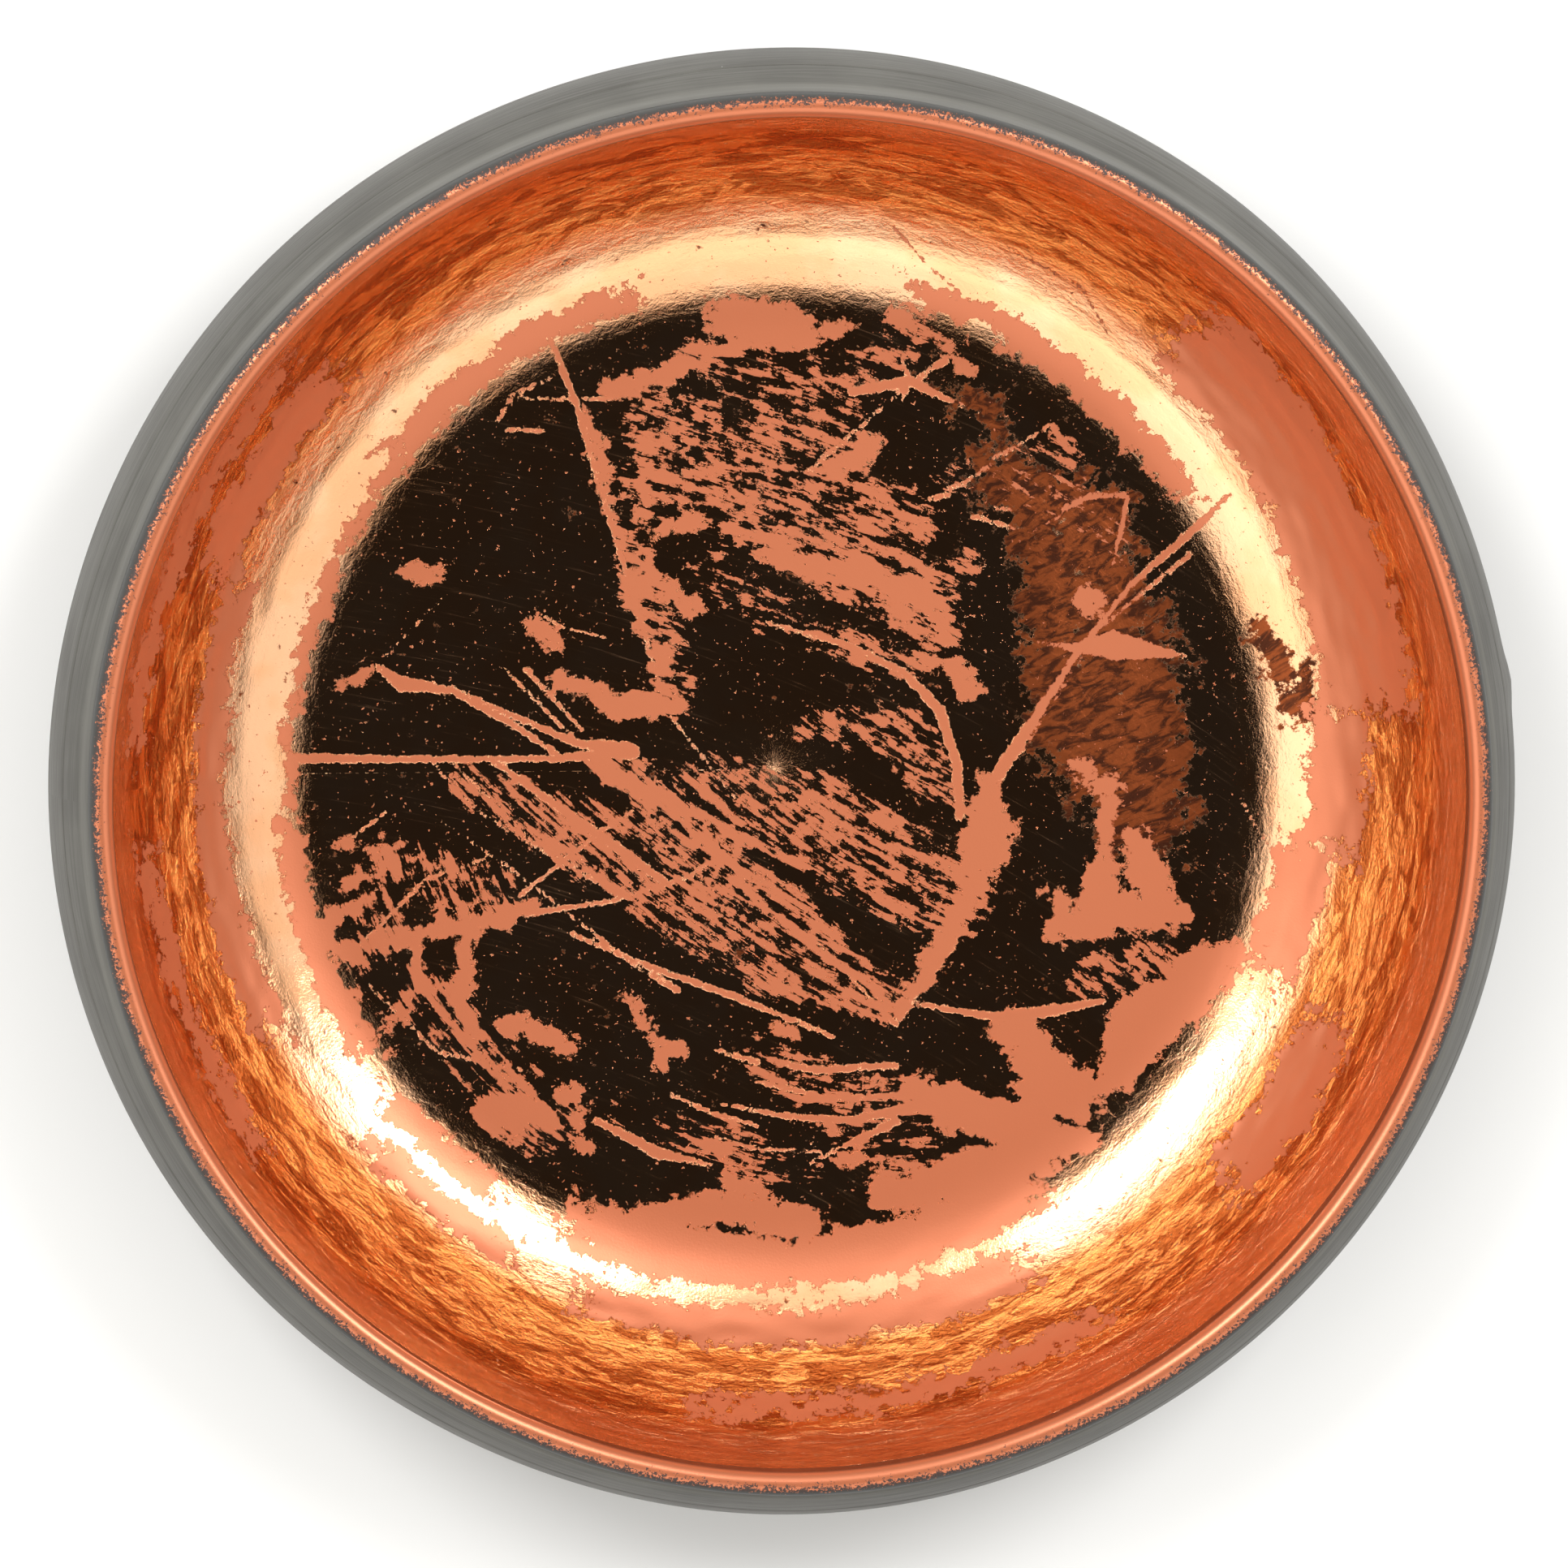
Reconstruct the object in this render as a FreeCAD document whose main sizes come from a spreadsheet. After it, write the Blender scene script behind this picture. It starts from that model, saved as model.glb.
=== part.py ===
"""Leaf-lined wooden bowl: a low round bowl, matt grey outside and copper inside.

The body is turned from a glued stack: a base board, four wall courses and a narrow lip
hoop. A copper-coloured ground coat covers the inside and the top of the lip, and sheets of
copper leaf lie on it, four across the floor and seven round the wall. Millimetres,
+Z up, origin in the middle of the flat base, and the bowl is round about Z.
"""

import FreeCAD
import Part
import math
import os
import Sketcher

MIDDLE_COURSES = 3
WALL_SHEETS = 7
FULL_TURN = 360.0
ORIGIN = -1
START, END = 1, 2
OUTWARD, INWARD = 1, -1

# Driving sizes in millimetres, and angles in degrees from +X towards +Y.
SIZES = {
    "belly_radius": 150.0,
    "bowl_height": 60.0,
    # outside of the turned body, with insets measured in from the belly
    "base_inset": 52.0,
    "belly_height": 33.0,
    "belly_round": 22.0,
    "shoulder_inset": 6.7,
    "shoulder_ledge": 1.1,
    # lip hoop, measured over its coat
    "lip_width": 5.0,
    "lip_height": 6.0,
    "lip_overhang": 0.8,
    "coat_edge": 60.0,
    # inside of the turned body
    "floor_inset": 58.5,
    "floor_thickness": 6.0,
    # glued courses
    "base_board": 12.0,
    "top_course": 7.0,
    # coats
    "ground_coat": 0.4,
    "leaf_coat": 0.2,
    "leaf_margin": 1.0,
    # the two places where the floor sheets meet, and how the seams run out from them
    "west_joint_x": -23.0,
    "west_joint_y": 12.0,
    "south_joint_x": 24.0,
    "south_joint_y": -53.0,
    "north_seam": 106.0,
    "west_seam": 186.0,
    "east_seam": 58.0,
    "south_seam": 314.0,
    # where each wall sheet starts
    "wall_seam_1": 0.0,
    "wall_seam_2": 40.0,
    "wall_seam_3": 100.0,
    "wall_seam_4": 165.0,
    "wall_seam_5": 210.0,
    "wall_seam_6": 260.0,
    "wall_seam_7": 315.0,
}

# Sizes that follow from the driving ones.
WORKED_OUT = {
    "axis": "=0",
    "ground_level": "=0",
    "base_radius": "=belly_radius - base_inset",
    "floor_radius": "=belly_radius - floor_inset",
    "round_centre": "=belly_radius - belly_round",
    "round_distance": "=sqrt((round_centre - base_radius)^2 + belly_height^2)",
    "underside_length": "=sqrt(round_distance^2 - belly_round^2)",
    "underside_slope": "=atan2(belly_height; round_centre - base_radius)"
    " - asin(belly_round / round_distance)",
    "underside_radius": "=base_radius + underside_length * cos(underside_slope)",
    "underside_height": "=underside_length * sin(underside_slope)",
    "shoulder_height": "=bowl_height - lip_height",
    "shoulder_radius": "=belly_radius - shoulder_inset",
    "lip_radius": "=shoulder_radius - shoulder_ledge",
    "shoulder_rise": "=shoulder_height - belly_height",
    "shoulder_round": "=(shoulder_rise^2 + shoulder_inset^2) / (2 * shoulder_inset)",
    "lip_bead": "=lip_width / 2",
    "lip_core_bead": "=lip_bead - ground_coat",
    "lip_middle": "=lip_radius - ground_coat - lip_core_bead",
    "lip_spring": "=bowl_height - lip_bead",
    "lip_core_top": "=bowl_height - ground_coat",
    "lip_core_outside": "=lip_middle + lip_core_bead",
    "lip_core_inside": "=lip_middle - lip_core_bead",
    "mouth_radius": "=lip_middle - lip_bead",
    "coat_edge_radius": "=lip_middle + lip_bead * cos(coat_edge)",
    "coat_edge_height": "=lip_spring + lip_bead * sin(coat_edge)",
    "core_edge_radius": "=lip_middle + lip_core_bead * cos(coat_edge)",
    "core_edge_height": "=lip_spring + lip_core_bead * sin(coat_edge)",
    "wall_top_radius": "=lip_core_inside + lip_overhang",
    "wall_run": "=wall_top_radius - floor_radius",
    "wall_rise": "=shoulder_height - floor_thickness",
    "wall_round": "=(wall_run^2 + wall_rise^2) / (2 * wall_rise)",
    "wall_centre": "=floor_thickness + wall_round",
    "ground_top": "=floor_thickness + ground_coat",
    "ground_round": "=wall_round - ground_coat",
    "ground_reach": "=sqrt(ground_round^2 - (shoulder_height - wall_centre)^2)",
    "ground_rim_radius": "=floor_radius + ground_reach",
    "leaf_top": "=ground_top + leaf_coat",
    "leaf_round": "=ground_round - leaf_coat",
    "leaf_rim": "=shoulder_height - leaf_margin",
    "leaf_back_reach": "=sqrt(ground_round^2 - (leaf_rim - wall_centre)^2)",
    "leaf_face_reach": "=sqrt(leaf_round^2 - (leaf_rim - wall_centre)^2)",
    "leaf_back_radius": "=floor_radius + leaf_back_reach",
    "leaf_face_radius": "=floor_radius + leaf_face_reach",
    "top_joint": "=shoulder_height - top_course",
    "course_height": f"=(top_joint - base_board) / {MIDDLE_COURSES}",
    "seam_reach": "=2 * belly_radius",
    "north_end_x": "=west_joint_x + seam_reach * cos(north_seam)",
    "north_end_y": "=west_joint_y + seam_reach * sin(north_seam)",
    "west_end_x": "=west_joint_x + seam_reach * cos(west_seam)",
    "west_end_y": "=west_joint_y + seam_reach * sin(west_seam)",
    "east_end_x": "=south_joint_x + seam_reach * cos(east_seam)",
    "east_end_y": "=south_joint_y + seam_reach * sin(east_seam)",
    "south_end_x": "=south_joint_x + seam_reach * cos(south_seam)",
    "south_end_y": "=south_joint_y + seam_reach * sin(south_seam)",
}


def build_sheet(doc):
    """Put every size in the spreadsheet, one named cell each."""
    sheet = doc.addObject("Spreadsheet::Sheet", "sizes")
    for row, (name, value) in enumerate({**SIZES, **WORKED_OUT}.items(), start=1):
        sheet.set(f"A{row}", name)
        sheet.setAlias(f"B{row}", name)
        sheet.set(f"B{row}", str(value))
    doc.recompute()
    return sheet


def new_sketch(body, name, plane):
    """A sketch attached to one of the body's own origin planes."""
    sketch = body.newObject("Sketcher::SketchObject", name)
    support = next(p for p in body.Origin.OriginFeatures if p.Role == plane)
    sketch.AttachmentSupport = (support, "")
    sketch.MapMode = "FlatFace"
    return sketch


def tie(sketch, kind, *where, size):
    """Add a constraint whose value is the sheet's cell of that name."""
    value = sketch.Document.sizes.get(size)
    number = sketch.addConstraint(Sketcher.Constraint(kind, *where, value))
    sketch.setExpression(f"Constraints[{number}]", f"sizes.{size}")


def pin(sketch, edge, point, across, up):
    """Hold one end of an edge at a place named in the sheet."""
    tie(sketch, "DistanceX", ORIGIN, START, edge, point, size=across)
    tie(sketch, "DistanceY", ORIGIN, START, edge, point, size=up)


def round_edge(start, end, radius, side):
    """An arc between two places, bulging to the right of its way for OUTWARD."""
    half = (end - start) / 2
    right = FreeCAD.Vector(half.y, -half.x, 0).normalize() * side
    centre = start + half - right * math.sqrt(max(radius**2 - half.Length**2, 0.0))
    ends = (start, end) if side == OUTWARD else (end, start)
    return Part.Arc(ends[0], centre + right * radius, ends[1])


def ends_of(corner):
    """An edge's first and last point numbers; an INWARD arc is stored the other way."""
    return (END, START) if INWARD in corner else (START, END)


def draw(sketch, corners):
    """Draw a closed outline through the corners, each pinned at its named place.

    A corner is (across, up) with a straight edge to the next one, or (across, up, radius,
    side) with a round edge of that named radius.
    """
    cell = sketch.Document.sizes.get
    places = [FreeCAD.Vector(cell(corner[0]), cell(corner[1]), 0) for corner in corners]
    for corner, start, end in zip(corners, places, places[1:] + places[:1]):
        if len(corner) == 2:
            sketch.addGeometry(Part.LineSegment(start, end), False)
        else:
            sketch.addGeometry(round_edge(start, end, cell(corner[2]), corner[3]), False)
    for edge, corner in enumerate(corners):
        following = (edge + 1) % len(corners)
        first, last = ends_of(corner)
        meeting = (edge, last, following, ends_of(corners[following])[0])
        sketch.addConstraint(Sketcher.Constraint("Coincident", *meeting))
        pin(sketch, edge, first, corner[0], corner[1])
        if len(corner) > 2:
            tie(sketch, "Radius", edge, size=corner[2])


def turned(doc, name, corners):
    """A body made by turning a half-section all the way round Z."""
    body = doc.addObject("PartDesign::Body", name)
    sketch = new_sketch(body, f"{name}_section", "XZ_Plane")
    draw(sketch, corners)
    turning = body.newObject("PartDesign::Revolution", f"{name}_turning")
    turning.Profile = sketch
    turning.ReferenceAxis = (sketch, ["V_Axis"])
    turning.Angle = FULL_TURN
    return body


def stack_outline(doc):
    """The whole glued stack as it comes off the lathe, before it is shared into courses."""
    return turned(doc, "stack", [
        ("axis", "ground_level"),
        ("base_radius", "ground_level"),
        ("underside_radius", "underside_height", "belly_round", OUTWARD),
        ("belly_radius", "belly_height", "shoulder_round", OUTWARD),
        ("shoulder_radius", "shoulder_height"),
        ("wall_top_radius", "shoulder_height", "wall_round", INWARD),
        ("floor_radius", "floor_thickness"),
        ("axis", "floor_thickness"),
    ])


def course(doc, name, stack, bottom, height):
    """The part of the stack that one board makes, between two glue joints."""
    board = doc.addObject("Part::Cylinder", f"{name}_board")
    board.setExpression("Radius", "sizes.seam_reach")
    board.setExpression("Height", height)
    board.setExpression("Placement.Base.z", bottom)
    piece = doc.addObject("Part::Common", name)
    piece.Base = stack
    piece.Tool = board
    return piece


def lip_hoop(doc):
    """The wooden hoop on top of the wall, with a half-round crest and a small overhang."""
    return turned(doc, "lip_hoop", [
        ("lip_core_inside", "shoulder_height"),
        ("lip_core_outside", "shoulder_height"),
        ("lip_core_outside", "lip_spring", "lip_core_bead", OUTWARD),
        ("lip_middle", "lip_core_top", "lip_core_bead", OUTWARD),
        ("lip_core_inside", "lip_spring"),
    ])


def lip_coat(doc):
    """Copper-coloured ground over the lip, which stops part of the way down outside."""
    return turned(doc, "lip_ground", [
        ("lip_core_inside", "shoulder_height"),
        ("lip_core_inside", "lip_spring", "lip_core_bead", INWARD),
        ("lip_middle", "lip_core_top", "lip_core_bead", INWARD),
        ("core_edge_radius", "core_edge_height"),
        ("coat_edge_radius", "coat_edge_height", "lip_bead", OUTWARD),
        ("lip_middle", "bowl_height", "lip_bead", OUTWARD),
        ("mouth_radius", "lip_spring"),
        ("mouth_radius", "shoulder_height"),
    ])


def bowl_coat(doc):
    """Copper-coloured ground over the floor and up the inside of the wall."""
    return turned(doc, "bowl_ground", [
        ("axis", "floor_thickness"),
        ("floor_radius", "floor_thickness", "wall_round", OUTWARD),
        ("wall_top_radius", "shoulder_height"),
        ("ground_rim_radius", "shoulder_height", "ground_round", INWARD),
        ("floor_radius", "ground_top"),
        ("axis", "ground_top"),
    ])


def leaf_band(doc):
    """The whole band of leaf round the wall, before it is shared into sheets."""
    return turned(doc, "leaf_band", [
        ("floor_radius", "ground_top", "ground_round", OUTWARD),
        ("leaf_back_radius", "leaf_rim"),
        ("leaf_face_radius", "leaf_rim", "leaf_round", INWARD),
        ("floor_radius", "leaf_top"),
    ])


def wall_sheet(doc, name, band, number):
    """One sheet of the band, from its own seam to the next one round."""
    start = f"sizes.wall_seam_{number}"
    last = number == WALL_SHEETS
    end = f"sizes.wall_seam_1 + {FULL_TURN:g}" if last else f"sizes.wall_seam_{number + 1}"
    wedge = doc.addObject("Part::Cylinder", f"{name}_wedge")
    wedge.setExpression("Radius", "sizes.seam_reach")
    wedge.setExpression("Height", "sizes.bowl_height")
    wedge.setExpression("Angle", f"{end} - {start}")
    wedge.setExpression("Placement.Rotation.Angle", start)
    piece = doc.addObject("Part::Common", name)
    piece.Base = band
    piece.Tool = wedge
    return piece


def floor_sheet(doc, name, disc, corners):
    """One sheet of leaf on the floor: an outline of seams, kept to the floor's round."""
    outline = doc.addObject("PartDesign::Body", f"{name}_outline")
    sketch = new_sketch(outline, f"{name}_seams", "XY_Plane")
    draw(sketch, corners)
    pad = outline.newObject("PartDesign::Pad", f"{name}_pad")
    pad.Profile = sketch
    pad.setExpression("Length", "sizes.leaf_top")
    piece = doc.addObject("Part::Common", name)
    piece.Base = disc
    piece.Tool = outline
    return piece


def floor_disc(doc):
    """The floor's leaf in one piece, before it is shared into sheets."""
    disc = doc.addObject("Part::Cylinder", "leaf_disc")
    disc.setExpression("Radius", "sizes.floor_radius")
    disc.setExpression("Height", "sizes.leaf_coat")
    disc.setExpression("Placement.Base.z", "sizes.ground_top")
    return disc


def joint(name):
    """The corner where seams meet, or a seam's far end, as a pair of sheet names."""
    return (f"{name}_x", f"{name}_y")


def build(doc):
    """Make every piece and return them in the order they are put together."""
    build_sheet(doc)
    stack = stack_outline(doc)
    pieces = [course(doc, "base_board", stack, "sizes.ground_level", "sizes.base_board")]
    for number in range(MIDDLE_COURSES):
        bottom = f"sizes.base_board + {number} * sizes.course_height"
        name = f"wall_course_{number + 1}"
        pieces.append(course(doc, name, stack, bottom, "sizes.course_height"))
    pieces.append(
        course(doc, "shoulder_course", stack, "sizes.top_joint", "sizes.top_course")
    )
    pieces += [lip_hoop(doc), bowl_coat(doc), lip_coat(doc)]

    disc = floor_disc(doc)
    west, south = joint("west_joint"), joint("south_joint")
    to_north, to_west = joint("north_end"), joint("west_end")
    to_east, to_south = joint("east_end"), joint("south_end")
    floor_sheets = {
        "floor_leaf_west": [west, to_north, to_west],
        "floor_leaf_north": [west, south, to_east, to_north],
        "floor_leaf_east": [south, to_south, to_east],
        "floor_leaf_south": [west, to_west, to_south, south],
    }
    for name, corners in floor_sheets.items():
        pieces.append(floor_sheet(doc, name, disc, corners))

    band = leaf_band(doc)
    for number in range(1, WALL_SHEETS + 1):
        pieces.append(wall_sheet(doc, f"wall_leaf_{number}", band, number))
    for piece in pieces:
        piece.Label = piece.Name
    doc.recompute()
    return pieces


def check(doc, pieces):
    """Stop before anything is written when an object failed or a piece is not sound."""
    for item in doc.Objects:
        if {"Invalid", "Error"} & set(item.State):
            raise RuntimeError(f"{item.Label} did not build: {item.State}")
    for piece in pieces:
        shape = piece.Shape
        if shape.isNull() or not shape.isValid() or not shape.Solids:
            raise RuntimeError(f"{piece.Label} is not a sound solid")


def main():
    """Build the bowl and write each piece to a file named after it."""
    doc = FreeCAD.newDocument("leaf_lined_bowl")
    pieces = build(doc)
    check(doc, pieces)
    os.makedirs("parts", exist_ok=True)
    for piece in pieces:
        piece.Shape.exportStep(f"parts/{piece.Label}.step")


main()
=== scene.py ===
"""Looks of the leaf-lined bowl: grey turned wood outside, torn and wrinkled copper leaf inside."""

import enum
import logging
import math
from dataclasses import dataclass

import bmesh
import bpy
import numpy as np
from bmesh.types import BMesh, BMVert
from bpy.types import Material, Mesh, Node, NodeSocket, Object
from mathutils import Matrix, Vector, noise


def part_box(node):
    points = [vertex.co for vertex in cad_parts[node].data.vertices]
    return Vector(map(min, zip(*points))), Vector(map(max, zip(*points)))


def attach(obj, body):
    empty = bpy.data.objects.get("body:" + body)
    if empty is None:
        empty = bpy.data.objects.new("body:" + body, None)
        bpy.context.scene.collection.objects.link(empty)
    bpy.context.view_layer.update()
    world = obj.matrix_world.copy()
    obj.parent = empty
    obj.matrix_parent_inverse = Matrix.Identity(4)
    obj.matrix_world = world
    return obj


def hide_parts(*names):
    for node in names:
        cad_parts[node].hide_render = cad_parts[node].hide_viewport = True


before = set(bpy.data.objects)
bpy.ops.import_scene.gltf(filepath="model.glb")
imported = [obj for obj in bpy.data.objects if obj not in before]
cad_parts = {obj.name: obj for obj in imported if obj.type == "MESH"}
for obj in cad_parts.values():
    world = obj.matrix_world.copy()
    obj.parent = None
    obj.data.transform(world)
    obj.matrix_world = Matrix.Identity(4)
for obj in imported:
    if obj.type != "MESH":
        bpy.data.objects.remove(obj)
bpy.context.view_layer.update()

log = logging.getLogger("bowl")
MM = 0.001
TURN = 2 * math.pi
BODY = "root"
UP = Vector((0, 0, 1))
LINING_CELL = 2 * MM
SEED = 4
Profile = list[Vector]
Run = tuple[tuple[int, int, int], ...]


# Shape.


def arc(centre: tuple[float, float], radius: float, first: float, last: float,
        steps: int) -> Profile:
    """Points on a round stretch of a half-section.

    Args:
        centre: distance from the axis and height of the arc's centre.
        radius: its radius.
        first: angle of its first point, in radians above the horizontal.
        last: angle of its last point.
        steps: number of equal stretches.

    Returns:
        The points in the XZ plane, both ends included.
    """
    angles = [first + (last - first) * step / steps for step in range(steps + 1)]
    return [
        Vector((centre[0] + radius * math.cos(a), 0, centre[1] + radius * math.sin(a)))
        for a in angles
    ]


@dataclass(frozen=True)
class BowlShape:
    """The bowl's sizes as the frame holds them, in metres."""

    belly_radius: float
    shoulder_height: float
    floor_radius: float
    floor_height: float
    leaf_height: float
    leaf_rim: float
    wall_top_radius: float
    lip_core_radius: float
    top: float
    joints: tuple[float, ...]
    base_radius: float = 98 * MM
    belly_height: float = 33 * MM
    belly_round: float = 22 * MM
    shoulder_inset: float = 6.7 * MM
    lip_width: float = 5 * MM
    coat: float = 0.4 * MM

    @classmethod
    def from_frame(cls) -> "BowlShape":
        """Reads the sizes from the frame's boxes.

        Returns:
            The bowl's sizes.
        """
        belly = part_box("wall_course_2")
        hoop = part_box("lip_hoop")
        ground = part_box("bowl_ground")
        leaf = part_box("floor_leaf_south")
        courses = ("wall_course_1", "wall_course_2", "wall_course_3", "shoulder_course")
        return cls(
            belly_radius=belly[1].x,
            shoulder_height=hoop[0].z,
            floor_radius=-leaf[0].x,
            floor_height=ground[0].z,
            leaf_height=leaf[1].z,
            leaf_rim=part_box("wall_leaf_1")[1].z,
            wall_top_radius=ground[1].x,
            lip_core_radius=hoop[1].x,
            top=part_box("lip_ground")[1].z,
            joints=tuple(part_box(name)[0].z for name in courses),
        )

    @property
    def lip_spring(self) -> float:
        """Height where the lip's half-round crest starts."""
        return self.top - self.lip_width / 2

    @property
    def lip_middle(self) -> float:
        """Radius of the lip's crest line."""
        return self.lip_core_radius + self.coat - self.lip_width / 2

    @property
    def wall_round(self) -> float:
        """Radius of the wall's inner arc, which leaves the floor level."""
        run = self.wall_top_radius - self.floor_radius
        rise = self.shoulder_height - self.floor_height
        return (run**2 + rise**2) / (2 * rise)

    @property
    def wall_centre(self) -> tuple[float, float]:
        """Centre of the wall's inner arc in the half-section."""
        return self.floor_radius, self.floor_height + self.wall_round

    def outside(self, height: float) -> float:
        """Radius of the outside.

        Args:
            height: height above the table.

        Returns:
            The radius there.
        """
        if height >= self.belly_height:
            rise = self.shoulder_height - self.belly_height
            bend = (rise**2 + self.shoulder_inset**2) / (2 * self.shoulder_inset)
            return self.belly_radius - bend + math.sqrt(bend**2 - (height - self.belly_height) ** 2)
        across = self.belly_radius - self.belly_round - self.base_radius
        reach = math.hypot(across, self.belly_height)
        slope = math.atan2(self.belly_height, across) - math.asin(self.belly_round / reach)
        tangent = math.sqrt(reach**2 - self.belly_round**2) * math.sin(slope)
        if height <= tangent:
            return self.base_radius + height / math.tan(slope)
        drop = self.belly_height - height
        return self.belly_radius - self.belly_round + math.sqrt(self.belly_round**2 - drop**2)

    def inside(self, height: float) -> float:
        """Radius of the wooden wall's inside at a height."""
        lift = height - self.wall_centre[1]
        return self.floor_radius + math.sqrt(self.wall_round**2 - lift**2)

    def lining(self, offset: float, top: float, cell: float) -> Profile:
        """The wall's inside, standing off the wood by a coat, from the floor's edge up.

        Args:
            offset: distance inward from the wood.
            top: height where it ends.
            cell: length of each stretch.

        Returns:
            The profile from the floor's edge to the top.
        """
        bend = self.wall_round - offset
        last = math.asin((top - self.wall_centre[1]) / bend)
        steps = round(bend * (last + math.pi / 2) / cell)
        return arc(self.wall_centre, bend, -math.pi / 2, last, steps)


@dataclass(frozen=True)
class HandShaping:
    """How far the hand-finished bowl is from truly round: (lobes, depth, direction)."""

    lobes: tuple[tuple[int, float, float], ...] = (
        (2, 0.30 * MM, 2.5),
        (3, 0.25 * MM, 3.4),
        (5, 0.18 * MM, 1.1),
        (8, 0.08 * MM, 0.4),
    )
    rim_wave: float = 0.25 * MM
    least: float = 0.06 * MM
    knot_angle: float = math.radians(8)
    knot_height: float = 36 * MM
    knot_rise: float = 0.7 * MM
    knot_width: float = 4.5 * MM
    knot_length: float = 9 * MM
    rim_turn: float = 0.8

    def settle(self, mesh: Mesh, shape: BowlShape) -> None:
        """Moves a mesh's points as the whole bowl is out of round.

        Args:
            mesh: the piece's mesh, with its place in it.
            shape: the bowl's true sizes.
        """
        points = read_points(mesh)
        radius = np.hypot(points[:, 0], points[:, 1])
        angle = np.arctan2(points[:, 1], points[:, 0])
        wave = sum(depth * (np.cos(n * angle + turn) - 1) for n, depth, turn in self.lobes)
        off = np.hypot((angle - self.knot_angle) * radius / self.knot_width,
                       (points[:, 2] - self.knot_height) / self.knot_length)
        wave += self.knot_rise * np.exp(-(off**2)) * (radius > shape.lip_core_radius + 2 * MM)
        wave = np.minimum(wave, -self.least)
        share = np.clip(radius / shape.belly_radius, 0, 1) ** 2
        scale = 1 + wave * share / np.maximum(radius, MM)
        points[:, 0] *= scale
        points[:, 1] *= scale
        lift = np.clip(points[:, 2] / shape.top, 0, 1) ** 2
        points[:, 2] += self.rim_wave * lift * (np.cos(2 * angle + self.rim_turn) - 1) / 2
        write_points(mesh, points)


def read_points(mesh: Mesh) -> np.ndarray:
    """Reads a mesh's points.

    Args:
        mesh: the mesh.

    Returns:
        An array with one row for each point.
    """
    flat = np.empty(len(mesh.vertices) * 3, dtype=np.float64)
    mesh.vertices.foreach_get("co", flat)
    return flat.reshape(-1, 3)


def write_points(mesh: Mesh, points: np.ndarray) -> None:
    """Puts moved points back into a mesh."""
    mesh.vertices.foreach_set("co", points.ravel())
    mesh.update()


def chain(bm: BMesh, profile: Profile, closed: bool) -> list:
    """Lays a profile into a bmesh.

    Args:
        bm: the mesh that takes it.
        profile: its points.
        closed: whether its last point joins its first.

    Returns:
        The vertices, and then the edges that join them.
    """
    verts = [bm.verts.new(point) for point in profile]
    pairs = list(zip(verts, verts[1:]))
    if closed:
        pairs.append((verts[-1], verts[0]))
    return verts + [bm.edges.new(pair) for pair in pairs]


def turn(bm: BMesh, geometry: list, steps: int, angle: float = TURN) -> None:
    """Spins a profile about the bowl's axis and closes it where it meets itself.

    Args:
        bm: the mesh that holds the profile.
        geometry: the profile's points and edges.
        steps: number of steps in the whole angle.
        angle: how far it turns, in radians.
    """
    parts = 8 if math.isclose(angle, TURN) else 1
    bmesh.ops.spin(bm, geom=geometry, cent=(0, 0, 0), axis=UP, angle=angle / parts,
                   steps=steps // parts)
    sector = [*bm.verts, *bm.edges, *bm.faces]
    for part in range(1, parts):
        copied = bmesh.ops.duplicate(bm, geom=sector)["geom"]
        verts = [item for item in copied if isinstance(item, BMVert)]
        matrix = Matrix.Rotation(TURN * part / parts, 3, "Z")
        bmesh.ops.rotate(bm, cent=(0, 0, 0), matrix=matrix, verts=verts)
    bmesh.ops.remove_doubles(bm, verts=bm.verts, dist=0.001 * MM)


def finish_piece(name: str, bm: BMesh, material: Material,
                 nodes: tuple[str, ...], sharp: float = 35) -> Object:
    """Makes an object of a bmesh, dresses it and gives it its place in the frame.

    Args:
        name: the piece's name.
        bm: its shape, which is freed.
        material: its finish.
        nodes: the CAD nodes that it stands for.
        sharp: faces that meet at more than this many degrees keep a crisp edge; with 0 the
            edges stay as they are marked.

    Returns:
        The new object.
    """
    mesh = bpy.data.meshes.new(name)
    bm.to_mesh(mesh)
    bm.free()
    mesh.polygons.foreach_set("use_smooth", [True] * len(mesh.polygons))
    if sharp:
        mesh.set_sharp_from_angle(angle=math.radians(sharp))
    mesh.materials.append(material)
    piece = bpy.data.objects.new(name, mesh)
    bpy.context.scene.collection.objects.link(piece)
    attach(piece, BODY)
    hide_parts(*nodes)
    log.info("%s: %d faces", name, len(mesh.polygons))
    return piece


# Finishes.


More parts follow.
